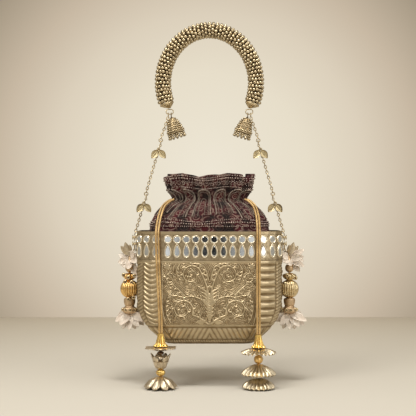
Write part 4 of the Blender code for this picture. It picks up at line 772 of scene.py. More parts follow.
for side, sign in SIDES:
    eye_bar = Vector((sign * CHAIN_X, 0, BAR_Z))
    sites = [Vector((sign * x, 0, z)) for x, z in (FIRST_SITE, SECOND_SITE)]
    stud = Vector((sign * STUD[0], 0, STUD[1]))
    for length, bar, foot in (("upper", eye_bar, sites[0]), ("middle", *sites), ("lower", sites[1], stud)):
        body = f"chain_{side}_{length}"
        ring_joint = bar + (RING_SEAT + RING_RADIUS) * DOWN
        leaf_hinge = bar + Vector((sign * SITE_SLOPE * LEAF_DROP, 0, -LEAF_DROP))
        start = ring_joint if length == "upper" else leaf_hinge
        foot_rise = STUD_RING_SEAT + STUD_RING_RADIUS if length == "lower" else FOOT_LOOP_DROP
        end = foot - foot_rise * DOWN
        copies(f"{body}_links", chain_links(start, end), link, antique_gold, body, [body])
        rings = [wire_ring(bar + RING_SEAT * DOWN, RING_RADIUS, 20)]
        if length == "lower":
            rings.append(wire_ring(foot + STUD_RING_SEAT * DOWN, STUD_RING_RADIUS, 22))
        else:
            centre = foot - FOOT_LOOP_DROP / 2 * DOWN
            foot_loop = oval(centre, ACROSS, DOWN, 0.0019, FOOT_LOOP_DROP / 2, 22, 2.6)
            rings.append(wire_loop(foot_loop, BACK, WIRE / 2))
        if length != "upper":
            neck = ring_joint.lerp(leaf_hinge, 0.31)
            eye = oval(ring_joint.lerp(neck, 0.5), ACROSS, DOWN, 0.0010, 0.0013, 16)
            rings.append(wire_loop(eye, BACK, 0.00038))
            along = (leaf_hinge - neck).normalized()
            half_length = (leaf_hinge - neck).length / 2 + 0.0002
            hanger = oval((neck + leaf_hinge) / 2 - 0.0026 * BACK, BACK, along, 0.0030, half_length, 24, 2.6)
            rings.append(wire_loop(hanger, along.cross(BACK), WIRE / 2.2))
        build(f"{body}_rings", rings, antique_gold, body, [body])
        if length == "upper":
            continue
        for place, forward in (("inner", 0.0025), ("outer", 0.0039)):
            outward = sign if place == "outer" else -sign
            leaf = f"leaf_{side}_{length}_{place}"
            shell = leaf_shell(leaf_hinge, outward, forward)
            build(f"{leaf}_plate", shell, leaf_gold, leaf, [leaf], 70)


# Basket. One drawn and embossed shell: rim strip, moulding under the mirrors, a panel of chased
# foliage, ladders of swags on the corners and ribs round the foot. Its hollows hold dark patina.
BASKET_HALF_WIDTH = 0.0755
BASKET_HALF_DEPTH = 0.0450
BASKET_HEIGHT = 0.1175
BASKET_WALL = 0.0009
FRONT_HALF = 0.0503
STRAIGHT_HEIGHT = 0.0750
BASE_HALF_WIDTH = 0.0445
BASE_HALF_DEPTH = 0.0300
BASE_FRONT_HALF = 0.0360
SET_BACK = 0.0015
RIM_Z = -0.20588
RIM_STRIP = 0.0032
BAND_TOP = 0.0039
BAND_BOTTOM = 0.0295
LINE_DEPTH = 0.0975
PANEL_TOP = 0.0335
RELIEF = 0.0013
GROUND = 0.0001


def plan(half_width, half_depth, front_half):
    """Sixteen corners round the basket: two flat panels and three facets at each corner."""
    turns = [math.radians(a) for a in (20, 35, 50)]
    facet = (half_width - front_half) / sum(math.cos(turn) for turn in turns)
    corner = [Vector((front_half, -half_depth))]
    for turn in turns:
        corner.append(corner[-1] + facet * Vector((math.cos(turn), math.sin(turn))))
    right = corner + [Vector((p.x, -p.y)) for p in reversed(corner)]
    return right + [-p for p in right]


def basket_plan(depth):
    """The basket's outline at a depth below its rim."""
    fall = min(1.0, max(0.0, (float(depth) - STRAIGHT_HEIGHT) / (BASKET_HEIGHT - STRAIGHT_HEIGHT)))
    side_in, front_in = fall**1.9, fall**3.0
    return plan(BASKET_HALF_WIDTH - side_in * (BASKET_HALF_WIDTH - BASE_HALF_WIDTH),
                BASKET_HALF_DEPTH - front_in * (BASKET_HALF_DEPTH - BASE_HALF_DEPTH),
                FRONT_HALF - side_in * (FRONT_HALF - BASE_FRONT_HALF))


def stroke(places, start_width, end_width, height=1.0):
    """A chased line: its places (across, depth in mm), its half widths and its height."""
    path, _ = smooth_path([(x, d, 0) for x, d in places], 0.35)
    width = np.linspace(start_width, end_width, len(path))
    return path[:, :2], width, height


def curl(across, depth, radius, start, turns, wind=1, end_share=0.22, lead=()):
    """Places along a spiral that winds in to its centre, after any places that lead to it."""
    places = list(lead)
    steps = max(8, int(turns * 14))
    for i in range(steps + 1):
        share = i / steps
        angle = math.radians(start) + wind * share * turns * 2 * math.pi
        reach = radius * (1 - (1 - end_share) * share)
        places.append((across + reach * math.cos(angle), depth - reach * math.sin(angle)))
    return places


def leaflet(across, depth, angle, length, width=1.5, height=0.9):
    """A small pointed leaf that leaves its place at an angle above the horizontal."""
    angle = math.radians(angle)
    tip = (across + length * math.cos(angle), depth - length * math.sin(angle))
    bow = (across + 0.5 * length * math.cos(angle + 0.25), depth - 0.5 * length * math.sin(angle + 0.25))
    path, _ = smooth_path([(across, depth, 0), (*bow, 0), (*tip, 0)], 0.3)
    share = np.linspace(0, 1, len(path))
    return path[:, :2], 0.35 + width * np.sin(np.pi * share**0.8), height


def leafy(places, start_width, end_width, side, lobes, length):
    """A curving stem with pointed lobes that spring from one side of it and bend along it."""
    path, width, height = stroke(places, start_width, end_width)
    made = [(path, width, height)]
    for k in range(lobes):
        i = int((k + 0.6) / lobes * (len(path) - 2))
        ahead = path[i + 1] - path[i]
        heading = math.degrees(math.atan2(-ahead[1], ahead[0]))
        made.append(leaflet(*path[i], heading + side * 52, length * (1 - 0.35 * k / lobes), 1.0, 0.95))
    return made


def front_foliage():
    """Strokes of the front panel for its right half; the left half mirrors them."""
    upper = curl(19.0, 45.0, 10.6, 165, 1.75, -1, 0.12, [(1.2, 70), (2.2, 60), (5.0, 51)])
    lower = curl(28.0, 81.0, 11.4, 205, 1.75, -1, 0.12, [(1.6, 96), (6, 92), (12, 88.5)])
    corner = curl(40.5, 47.0, 5.6, 250, 1.4, 1, 0.2, [(26, 66), (32, 60), (37, 55.5)])
    strokes = leafy(upper, 1.5, 0.7, 1, 13, 5.2)
    strokes += leafy(lower, 1.5, 0.7, 1, 13, 5.4)
    strokes += leafy(corner, 1.2, 0.6, -1, 8, 4.4)
    strokes += leafy([(1.4, 50), (3.0, 42), (6.0, 36), (12, 33.2), (20, 33.0)], 1.3, 0.6, -1, 5, 4.4)
    strokes += leafy([(2.0, 76), (9, 70), (18, 67), (27, 68), (35, 66), (42, 67)], 1.3, 0.6, 1, 7, 4.6)
    strokes += leafy([(40, 94.5), (43.5, 88), (45, 80), (44.5, 72), (42, 66)], 1.1, 0.6, 1, 6, 4.4)
    strokes += leafy([(31, 34.5), (34, 39), (33.5, 45), (31, 51)], 1.0, 0.6, -1, 4, 4.0)
    for k in range(8):
        strokes.append(leaflet(0.8, 92 - 3.6 * k, 62 - 3 * k, 7.2 + 0.9 * k, 1.0))
    for k in range(7):
        strokes.append(leaflet(10.0, 96.0, 25 + 130 * k / 6, 5.2, 0.9))
    for k in range(8):
        strokes.append(leaflet(43.8, 36.4, 45 * k + 20, 4.0, 1.0))
    return strokes


ECHO_PITCH = 1.55
ECHO_REACH = 6.0


def raise_strokes(across, depth, strokes):
    """The height, from 0 to 1, of rounded ridges along the strokes, with fainter lines that echo them."""
    raised = np.zeros(across.shape)
    beside = np.full(across.shape, ECHO_REACH)
    for path, width, height in strokes:
        reach = float(np.max(width)) + ECHO_REACH
        low, high = path.min(axis=0) - reach, path.max(axis=0) + reach
        near = (across > low[0]) & (across < high[0]) & (depth > low[1]) & (depth < high[1])
        if not near.any():
            continue
        places = np.stack([across[near], depth[near]], axis=1)
        reach_here = np.linalg.norm(places[:, None, :] - path[None, :, :], axis=2)
        nearest = (reach_here / np.maximum(width, 0.2)[None, :]).min(axis=1)
        beside[near] = np.minimum(beside[near], (reach_here - width[None, :]).min(axis=1))
        profile = height * np.clip(1 - nearest**2, 0, 1) ** 0.75
        raised[near] = np.maximum(raised[near], profile)
    beside = np.clip(beside, 0, ECHO_REACH)
    echo = (0.5 - 0.5 * np.cos(2 * np.pi * beside / ECHO_PITCH)) ** 0.8 * (0.72 - 0.06 * beside)
    return np.maximum(raised, echo)


def beading(along, across, pitch, half_width):
    """A row of half-round beads: the height at places along and across the row."""
    step = (along / pitch) % 1.0 - 0.5
    return np.sqrt(np.clip(1 - (step / 0.5) ** 2 - (across / half_width) ** 2, 0, 1))


def basket_relief(panel, along, width, depth):
    """The relief's height, from 0 to 1, on a panel; along and width are millimetres."""
    middle = along - width / 2
    height = np.zeros(along.shape)
    mm = depth * 1000
    open_ground = (mm > PANEL_TOP * 1000 - 1.2) & (mm < LINE_DEPTH * 1000 - 1.2)
    if panel in (7, 15):
        foliage = front_foliage()
        height = raise_strokes(np.abs(middle), mm, foliage)
        stem = np.clip(1 - (middle / 1.5) ** 2, 0, 1) ** 0.5 * ((mm > 66) & (mm < 96.5))
        height = np.maximum(height, stem * (0.75 + 0.25 * np.cos(2 * np.pi * mm / 2.4)))
        frame_line = np.clip(1 - ((width / 2 - np.abs(middle) - 1.2) / 0.8) ** 2, 0, 1) ** 0.5
        height = np.maximum(height, 0.8 * frame_line)
        height = height * open_ground
    elif panel in (3, 11):
        cell = 12.5
        u = (middle + cell / 2) % cell - cell / 2
        v = (mm - 36) % cell - cell / 2
        petal = np.clip(1 - ((np.hypot(u, v) - 3.6) / 1.1) ** 2, 0, 1) ** 0.5
        flower = np.clip(1 - (np.hypot(u, v) / (3.0 + 0.9 * np.cos(6 * np.arctan2(v, u)))) ** 2, 0, 1) ** 0.5
        height = np.maximum(petal * 0.6, flower) * open_ground
        height *= np.abs(middle) < width / 2 - 1.5
    elif panel in (2, 4, 10, 12):
        strand = np.abs(np.sin(np.pi * (mm / 3.4 + 1.2 * middle / width))) ** 0.8
        height = strand * np.clip((width / 2 - 0.8 - np.abs(middle)) / 1.2, 0, 1) ** 0.5 * 0.9 * open_ground
    else:
        across = along / width - (1 if panel in (0, 5, 8, 13) else 0)
        edge = np.clip((1 - np.abs(across)) / 0.12, 0, 1)
        if panel in (0, 1, 5, 6):
            bar = np.abs((mm - 35) % 7.5 - 3.75)
            height = np.clip(1 - ((bar - 1.0 * across**2) / 2.6) ** 2, 0, 1) ** 0.6
        else:
            sag = (mm - 33 - 5.4 * (1 - across**2)) % 5.1 - 2.55
            fine = 0.25 * (0.5 + 0.5 * np.cos(2 * np.pi * sag / 1.27))
            height = np.maximum(np.clip(1 - (sag / 1.7) ** 2, 0, 1) ** 0.6, fine + 0.2)
        height = height * edge * open_ground
    foot = (mm > LINE_DEPTH * 1000 + 2.4) & (mm < 112.5)
    spread = np.abs(middle) - 0.55 * (mm - 97) if panel in (7, 15) else along
    ribs = np.abs(np.sin(np.pi * spread / 5.2)) ** 0.7
    ends = np.clip(np.minimum(mm - 99.9, 112.5 - mm) / 1.5, 0, 1) ** 0.5
    height = np.maximum(height, ribs * ends * foot * 0.9)
    height = np.maximum(height, 0.95 * beading(along, mm - 114.6, 2.6, 1.2))
    return height


def line_profile(mm):
    """The plain mouldings that run right round: rim strip, moulding, line; height from 0 to 1."""
    rim = 0.45 * (mm < RIM_STRIP * 1000 + 0.2)
    moulding = 0.62 * np.clip(1 - ((mm - 31.3) / 1.45) ** 2, 0, 1) ** 0.5
    line = 0.62 * np.clip(1 - ((mm - LINE_DEPTH * 1000) / 1.1) ** 2, 0, 1) ** 0.5
    return np.maximum(np.maximum(rim, moulding), line)


COLUMNS = {3: 24, 11: 24, 7: 84, 15: 262}
FACET_COLUMNS = 10
outer_depths = np.concatenate([
    [0.0, 0.0008, 0.0016, 0.0024, 0.0032, 0.0035, 0.0040],
    np.linspace(0.0292, 0.0980, 150),
    np.linspace(0.0988, 0.1168, 25),
    [0.1175],
])
SLOPE_STEP = 0.001


def wall_slope(depth):
    """How steeply the wall draws in at a depth below the rim."""
    below = basket_plan(min(depth + SLOPE_STEP, BASKET_HEIGHT))
    return max(0.0, (basket_plan(depth)[3].x - below[3].x) / SLOPE_STEP)


outlines = [basket_plan(depth) for depth in outer_depths]
panel_grids = []
for panel in range(16):
    columns = COLUMNS.get(panel, FACET_COLUMNS)
    shares = np.arange(columns) / columns
    corners = np.array([[tuple(places[panel]), tuple(places[(panel + 1) % 16])] for places in outlines])
    first, second = corners[:, 0, None, :], corners[:, 1, None, :]
    flat = first + shares[None, :, None] * (second - first)
    ahead = second - first
    width = np.linalg.norm(ahead, axis=2)
    out = np.stack([ahead[..., 1], -ahead[..., 0]], axis=2) / width[..., None]
    along = shares[None, :] * width * 1000
    depth = np.broadcast_to(outer_depths[:, None], along.shape)
    raised = basket_relief(panel, along, np.broadcast_to(width * 1000, along.shape), depth)
    raised = np.maximum(raised, line_profile(depth * 1000))
    plain = line_profile(depth * 1000)
    if panel in (3, 7, 11, 15):
        from_edge = np.minimum(shares, 1 - shares)[None, :] * width * 1000
        raised = plain + (raised - plain) * np.clip(from_edge / 0.8, 0, 1)
    panel_grids.append((flat + (GROUND + RELIEF * raised)[..., None] * out, raised))
outline = np.concatenate([grid for grid, _ in panel_grids], axis=1)
raised = np.concatenate([height for _, height in panel_grids], axis=1)
levels = np.broadcast_to(-outer_depths[:, None, None], (*outline.shape[:2], 1))
outer_rows = np.concatenate([outline, levels], axis=2)
inner_depths = [0.0, 0.0005, STRAIGHT_HEIGHT, 0.0878, 0.0975, 0.1065, 0.1132, BASKET_HEIGHT - BASKET_WALL]
inner_rows = []
for depth in inner_depths:
    corners = [np.array(p) for p in basket_plan(depth)]
    half_width, half_depth = abs(corners[3][0]), abs(corners[0][1])
    thick = BASKET_WALL * math.hypot(1, wall_slope(depth))
    row = []
    for panel in range(16):
        columns = COLUMNS.get(panel, FACET_COLUMNS)
        for k in range(columns):
            point = corners[panel] + k / columns * (corners[(panel + 1) % 16] - corners[panel])
            row.append([point[0] * (1 - thick / half_width), point[1] * (1 - thick / half_depth), -depth])
    inner_rows.append(row)
rows = np.concatenate([np.array(inner_rows)[::-1], outer_rows])
rows[..., 1] += SET_BACK
rows[..., 2] += RIM_Z
chased_gold = metal("chased_gold", (0.56, 0.455, 0.295), (0.235, 0.165, 0.085), 0.36, 0.010, 0.30,
                    recess=True, grain=0.35)
shell = build("basket_embossed", [surface(rows, ends=True)], chased_gold, "basket", ["basket_shell"],
              60)
recess = np.full(len(shell.data.vertices), 0.75)
first_outer = len(inner_rows) * rows.shape[1]
mm = np.broadcast_to(outer_depths[:, None] * 1000, raised.shape)
hollow = np.clip(0.85 - 1.15 * raised, 0, 1) * (mm > 33)
recess[first_outer:first_outer + raised.size] = hollow.ravel()
shell.data.attributes.new("recess", "FLOAT", "POINT").data.foreach_set("value", recess)


# Mirror band. A pressed strip is wrapped round under the rim, with a round cup over a drop-shaped cup
# in each column; a small silvered glass chip with a bevelled edge is glued in each cup.
BAND_THICKNESS = 0.0008
ROUND_RADIUS = 0.0042
ROUND_GLASS = 0.0032
DROP_WIDTH = 0.0088
DROP_HEIGHT = 0.0148
DROP_GLASS = 0.72
COLUMN_MARGIN = 0.0024
FRONT_COLUMNS = 10
SETTING_RISE = 0.0012
DROP_SETTING_WALL = 0.0011
CHIP_RISE = 0.0007


def drop_outline(count, half_width, half_height):
    """Points of a drop with its point up, as places across and up."""
    points = []
    for angle in around(count):
        reach = math.sin(angle / 2) ** 0.75 if angle else 0.0
        points.append((half_width * 1.02 * math.sin(angle) * reach, half_height * math.cos(angle)))
    return points


def ring_outline(count, radius):
    """Points of a ring, as places across and up."""
    return [(radius * math.sin(angle), radius * math.cos(angle)) for angle in around(count)]


def setting(outline, wall, rise):
    """A raised rim round an outline, in the plane of X and Z, facing -Y; it stands on a skirt."""
    points = np.array(outline)
    ahead = np.roll(points, -1, axis=0) - np.roll(points, 1, axis=0)
    ahead /= np.maximum(np.linalg.norm(ahead, axis=1), 1e-9)[:, None]
    out = np.stack([-ahead[:, 1], ahead[:, 0]], axis=1)
    if (out * points).sum() < 0:
        out = -out
    profile = (
        (0.0004, 0.0), (0.0001, 0.55 * rise), (-0.0001, rise), (-0.6 * wall, rise),
        (-wall, 0.5 * rise), (-wall, 0.0), (-wall, -0.0003), (0.0004, -0.0003),
    )
    rows = [[(x, -proud, z) for x, z in points + reach * out] for reach, proud in profile]
    return surface(rows, closed=True)


def chip(outline, rise):
    """A mirror chip with a bevelled edge that fills an outline."""
    profile = ((1.0, -0.0002), (1.0, rise * 0.8), (0.9, rise))
    rows = [[(x * share, -level, z * share) for x, z in outline] for share, level in profile]
    return surface(rows, ends=True)


round_shape = ring_outline(28, ROUND_RADIUS)
drop_shape = drop_outline(32, DROP_WIDTH / 2, DROP_HEIGHT / 2)
round_rim = setting(round_shape, ROUND_RADIUS - ROUND_GLASS, SETTING_RISE)
round_setting = pattern_object("round_setting", [round_rim])
drop_setting = pattern_object("drop_setting", [setting(drop_shape, DROP_SETTING_WALL, SETTING_RISE)])
glass_share = ROUND_GLASS / ROUND_RADIUS
round_glass = [(glass_share * x, glass_share * z) for x, z in round_shape]
drop_glass = [(DROP_GLASS * x, DROP_GLASS * z - 0.0004) for x, z in drop_shape]
round_chip = pattern_object("round_chip", [chip(round_glass, CHIP_RISE)], 8)
drop_chip = pattern_object("drop_chip", [chip(drop_glass, CHIP_RISE)], 8)

columns = []
strip = plan(BASKET_HALF_WIDTH + GAP + BAND_THICKNESS, BASKET_HALF_DEPTH + GAP + BAND_THICKNESS, FRONT_HALF)
for panel in range(16):
    start, end = strip[panel], strip[(panel + 1) % 16]
    length = (end - start).length
    ahead = (end - start) / length
    out = Vector((ahead.y, -ahead.x))
    if panel in (7, 15):
        pitch = (length - 2 * COLUMN_MARGIN) / FRONT_COLUMNS
        places = [COLUMN_MARGIN + (k + 0.5) * pitch for k in range(FRONT_COLUMNS)]
        room = pitch
    elif panel in (3, 11):
        continue
    else:
        places, room = [length / 2], length
    for place in places:
        columns.append((start + place * ahead, out, min(1.0, 0.98 * room / DROP_WIDTH)))
mirror_depths = {
    "round": BAND_TOP + 0.0001 + ROUND_RADIUS,
    "drop": BAND_TOP + 2 * ROUND_RADIUS + DROP_HEIGHT / 2,
}
spots = {"round": [], "drop": []}
for place, out, squeeze in columns:
    turn = Matrix(((-out.y, -out.x, 0), (out.x, -out.y, 0), (0, 0, 1)))
    for kind, depth in mirror_depths.items():
        spots[kind].append((Vector((place.x, place.y + SET_BACK, RIM_Z - depth)), turn, (squeeze, 1, 1)))
band_gold = metal("band_gold", (0.50, 0.41, 0.275), (0.18, 0.125, 0.065), 0.34, 0.004, 0.8)
rim_gold = metal("rim_gold", (0.86, 0.78, 0.62), (0.45, 0.36, 0.23), 0.34, 0.005, 0.5)
mirror, tree, output = new_material("mirror_glass")
smudges = speckle(tree, own_place(tree), 160.0, 3.0)
end_in(tree, output, {
    "Base Color": (0.86, 0.87, 0.86, 1), "Metallic": 1.0,
    "Roughness": ranged(tree, smudges, 0.0, 1.0, 0.03, 0.12),
})
for kind, rim_pattern, chip_pattern in (
    ("round", round_setting, round_chip), ("drop", drop_setting, drop_chip),
):
    copies(f"{kind}_settings", spots[kind], rim_pattern, rim_gold, "basket", ["mirror_band"])
    copies(f"{kind}_mirrors", spots[kind], chip_pattern, mirror, "basket", ["mirror_band"])
band_rows = []
for offset, depth in (
    (0.0, BAND_TOP), (BAND_THICKNESS, BAND_TOP), (BAND_THICKNESS, BAND_BOTTOM), (0.0, BAND_BOTTOM),
):
    outline = plan(BASKET_HALF_WIDTH + GAP + offset, BASKET_HALF_DEPTH + GAP + offset, FRONT_HALF)
    fine = []
    for panel in range(16):
        a, b = outline[panel], outline[(panel + 1) % 16]
        fine += [a.lerp(b, k / 6) for k in range(6)]
    band_rows.append([(p.x, p.y + SET_BACK, RIM_Z - depth) for p in fine])
build("band_strip", [surface(band_rows, closed=True)], band_gold, "basket", ["mirror_band"],
      30)


# Pouch. Maroon brocade is sewn into a tube, hemmed inside the rim and gathered into pleats at the
# casing; above it the cloth stands in a frill. Rows of tiny silver-pink beads are stitched on it.
POUCH_LEVELS = (
    # height above the rim, half width, half depth, squareness, pleat
    (-0.0110, 0.07395, 0.04345, 4.0, 0.0),
    (0.0, 0.0640, 0.0400, 3.2, 0.00065),
    (0.0089, 0.0611, 0.0384, 2.9, 0.0017),
    (0.0191, 0.0550, 0.0340, 2.5, 0.0023),
    (0.0274, 0.0465, 0.0271, 2.2, 0.0029),
    (0.0330, 0.0375, 0.0215, 2.0, 0.0026),
    (0.0434, 0.0420, 0.0236, 2.0, 0.0034),
    (0.0590, 0.0452, 0.0262, 2.0, 0.0040),
)
PLEATS = 14
CLOTH = 0.0010
NECK_HEIGHT = 0.0330
MOUTH_HEIGHT = 0.0590
MOUTH_WAVE = 0.0022
POUCH_COLUMNS = 392
STITCHED_ROWS = (
    # height above the rim, number, size, swing
    (0.0570, 190, 0.0015, 0.0), (0.0545, 150, 0.0019, 0.0), (0.0455, 200, 0.0013, 0.0008),
    (0.0052, 200, 0.0014, 0.0), (0.0084, 160, 0.0019, 0.0010), (0.0112, 200, 0.0014, 0.0016),
)
STITCHED_CURLS = 46
CURL_BEADS = 13
CURL_REACH = 0.0026
CURL_HEIGHT = 0.0500
BRAIDS = (
    # half width, height of its top above the rim, size of its beads
    (0.0070, 0.0436, 0.0021), (0.0052, 0.0412, 0.0012), (0.0024, 0.0340, 0.0012),
)
BRAID_PITCH = 0.0011
pouch_rows = np.array(round_profile(POUCH_LEVELS, 9))


def cloth_place(angle, height, lift=0.0):
    """The point of the cloth at an angle and a height above the rim, lifted off its surface."""
    half_width, half_depth, power, pleat = (
        np.interp(height, pouch_rows[:, 0], pouch_rows[:, i]) for i in (1, 2, 3, 4)
    )
    c, s = math.cos(angle), math.sin(angle)
    reach = (abs(c) ** power + abs(s) ** power) ** (-1 / power)
    turn = math.cos(PLEATS * angle - math.pi / 3 + 0.5 * math.sin(3 * angle))
    fold = pleat * math.copysign(abs(turn) ** 0.75, turn)
    above = max(0.0, (height - NECK_HEIGHT) / (MOUTH_HEIGHT - NECK_HEIGHT))
    wrinkle = noise.noise(Vector((18 * c, 18 * s, 60 * height))) * 0.0009 * min(1.0, max(0.0, height / 0.008))
    out = fold + wrinkle + lift
    return Vector((
        (half_width - CLOTH) * reach * c + out * c,
        (half_depth - CLOTH) * reach * s + out * s + SET_BACK,
        RIM_Z + height + above**2 * MOUTH_WAVE * math.sin(5 * angle + 0.6),
    ))


def brocade_material():
    """Maroon brocade: a fine twill, darker in broad patches, with woven curls in silver pink."""
    material, tree, output = new_material("brocade")
    uv = add_node(tree, "ShaderNodeUVMap", uv_map="cloth").outputs["UV"]
    warp = add_node(tree, "ShaderNodeTexNoise", {"Vector": uv, "Scale": 1.1, "Detail": 2.0}).outputs["Color"]
    bent = add_node(tree, "ShaderNodeMix", {0: 0.10, 4: uv, 5: warp}, data_type="VECTOR").outputs[1]
    curls = {"Vector": bent, "Scale": 1.25, "Randomness": 0.6}
    cells = add_node(tree, "ShaderNodeTexVoronoi", curls).outputs["Distance"]
    waves = maths(tree, "SINE", maths(tree, "MULTIPLY", cells, 24.0))
    patches = speckle(tree, uv, 0.9, 2.0)
    strength = ranged(tree, patches, 0.40, 0.58, 0.10, 0.95)
    thread = maths(tree, "MULTIPLY", ranged(tree, waves, 0.30, 0.55), strength)
    ground = ramp_between(tree, patches, ((0.38, (0.010, 0.005, 0.005)), (0.62, (0.060, 0.006, 0.009))))
    diagonal = {"Vector": uv, "Scale": 9.0, "Distortion": 0.6}
    twill = add_node(tree, "ShaderNodeTexWave", diagonal, bands_direction="DIAGONAL").outputs["Fac"]
    height = maths(tree, "MULTIPLY_ADD", twill, 0.5, thread)
    end_in(tree, output, {
        "Base Color": mixed(tree, thread, ground, (0.20, 0.135, 0.108, 1)), "Roughness": 0.72,
        "Normal": bumped(tree, height, 0.5, 0.0003), "Specular IOR Level": 0.15, "Sheen Weight": 0.04,
    })
    return material


outer, inner = [], []
for height, _, _, _, _ in pouch_rows:
    outer.append([cloth_place(angle, float(height), CLOTH) for angle in around(POUCH_COLUMNS)])
    inner.append([cloth_place(angle, float(height)) for angle in around(POUCH_COLUMNS)])
brocade = brocade_material()
cloth = surface(outer + inner[::-1], closed=True)
pouch = build("pouch_cloth", [cloth], brocade, "basket", ["pouch"])
cloth_map = pouch.data.uv_layers.new(name="cloth")
run_up = run_along(np.array(outer)[:, 0]) * 100
row_of = np.concatenate([np.arange(len(outer)), np.arange(len(outer))[::-1]])
place_of = np.array([(k, row) for row in row_of for k in range(POUCH_COLUMNS)])
corner_of = np.zeros(len(pouch.data.loops), dtype=int)
pouch.data.loops.foreach_get("vertex_index", corner_of)
around_step = 30.0 / POUCH_COLUMNS
uv_values = []
for face in pouch.data.polygons:
    places = place_of[corner_of[list(face.loop_indices)]]
    wraps = places[:, 0].max() - places[:, 0].min() > POUCH_COLUMNS / 2
    for k, row in places:
        k = k + POUCH_COLUMNS if wraps and k < POUCH_COLUMNS / 2 else k
        uv_values += [k * around_step, run_up[row]]
cloth_map.data.foreach_set("uv", uv_values)

stitched, braid = [], []


def bead_at(beads, angle, height, size):
    """A stitched bead half sunk in the cloth."""
    beads.append((cloth_place(angle, height, CLOTH + 0.25 * size), UNTURNED, size))


for height, count, size, swing in STITCHED_ROWS:
    for angle in around(count):
        bead_at(stitched, angle, height + swing * math.sin(5 * angle + 0.9), size)
for middle in around(STITCHED_CURLS):
    for i in range(CURL_BEADS):
        turn = 0.5 + 2.6 * math.pi * i / (CURL_BEADS - 1)
        reach = CURL_REACH * (1 - 0.055 * i)
        height = CURL_HEIGHT + reach * math.sin(turn)
        bead_at(stitched, middle + reach * math.cos(turn) / 0.036, height, 0.0011)
for k in range(PLEATS):
    crest = (2 * math.pi * k + math.pi / 3) / PLEATS
    foot = 0.0138 + 0.0022 * (k % 3)
    for half_width, apex, size in BRAIDS:
        legs = apex - half_width - foot
        total = 2 * legs + math.pi * half_width
        for i in range(int(total / BRAID_PITCH)):
            run = i * BRAID_PITCH
            if run < legs:
                x, height = -half_width, foot + run
            elif run < legs + math.pi * half_width:
                turn = (run - legs) / half_width
                x, height = -half_width * math.cos(turn), foot + legs + half_width * math.sin(turn)
            else:
                x, height = half_width, foot + legs - (run - legs - math.pi * half_width)
            bead_at(braid, crest + x / 0.042, height, size)
silver_pink = metal("silver_pink", (0.52, 0.42, 0.37), (0.13, 0.085, 0.07), 0.40, 0.003, 0.8)
grey_braid = metal("grey_braid", (0.36, 0.30, 0.25), (0.09, 0.065, 0.055), 0.48, 0.003, 0.8)
seed_bead = ball_pattern("seed_bead", 1)
copies("pouch_stitching", stitched, seed_bead, silver_pink, "basket", ())
copies("pouch_braid", braid, seed_bead, grey_braid, "basket", ())


# Lining. A tub of black cloth, glued to the basket's inside under the pouch's hem; it puckers a
# little between its spots of glue.
LINING_TOP = 0.0116
LINING_FLOOR = BASKET_HEIGHT - BASKET_WALL - GAP


def lining_row(depth, inset_by, pucker):
    """Points round the tub at a depth, set in from the basket's outline."""
    corners = basket_plan(depth)
    half_width, half_depth = abs(corners[3].x), abs(corners[0].y)
    row = []
    for panel in range(16):
        for k in range(12):
            point = corners[panel].lerp(corners[(panel + 1) % 16], k / 12)
            wave = pucker * (0.5 + 0.5 * noise.noise(Vector((point.x, point.y, depth)) * 160))
            x = point.x * (1 - (inset_by + wave) / half_width)
            y = point.y * (1 - (inset_by + wave) / half_depth) + SET_BACK
            row.append((x, y, RIM_Z - depth))
    return row


def lining_gap(depth):
    """How far the cloth stands in from the outline: more where the wall slopes."""
    slope = wall_slope(depth)
    return BASKET_WALL * math.hypot(1, slope) + 0.0008 * (1 + slope)


lining_depths = np.concatenate([
    np.linspace(LINING_TOP, 0.100, 16), np.linspace(0.104, LINING_FLOOR - 0.0010, 6),
])
back_rows = [lining_row(depth, lining_gap(depth), 0.0) for depth in lining_depths]
face_rows = []
for depth in lining_depths:
    thickness = 0.0007 * (1 + 0.5 * (depth > 0.09))
    face_rows.append(lining_row(depth, lining_gap(depth) + thickness, 0.0009))
black_cloth, tree, output = new_material("black_cloth")
weave = speckle(tree, own_place(tree), 2200.0, 2.0)
end_in(tree, output, {
    "Base Color": ramp_between(tree, weave, ((0.3, (0.006, 0.005, 0.005)), (0.7, (0.022, 0.018, 0.018)))),
    "Roughness": 0.85, "Normal": bumped(tree, weave, 0.4), "Sheen Weight": 0.15,
})
floor_row = [(x * 0.2, (y - SET_BACK) * 0.2 + SET_BACK, RIM_Z - LINING_FLOOR) for x, y, _ in back_rows[-1]]
floor_face = [(x, y, z + 0.0010) for x, y, z in floor_row]
edge_row = [(x, y, RIM_Z - LINING_FLOOR) for x, y, _ in back_rows[-1]]
tub = surface([floor_face, *face_rows[::-1], *back_rows, edge_row, floor_row], ends=True)
lining = build("lining_cloth", [tub], black_cloth, "basket", ["lining"])


# Studs. A stamped plate is riveted to each side of the basket by two headed studs; the upper one
# carries the chain, the lower one the ring of the side tassel.
SIDE_RING_Z = -0.22218
SIDE_RING_RADIUS = 0.0042
for node in ("lug_left", "lug_right"):
    for slot in bpy.data.objects[node].material_slots:
        slot.material = antique_gold
for side, sign in SIDES:
    ring = wire_ring(Vector((sign * STUD[0], 0, SIDE_RING_Z)), SIDE_RING_RADIUS, 28)
    build(f"side_ring_{side}_wire", [ring], antique_gold, f"side_ring_{side}", [f"side_ring_{side}"])


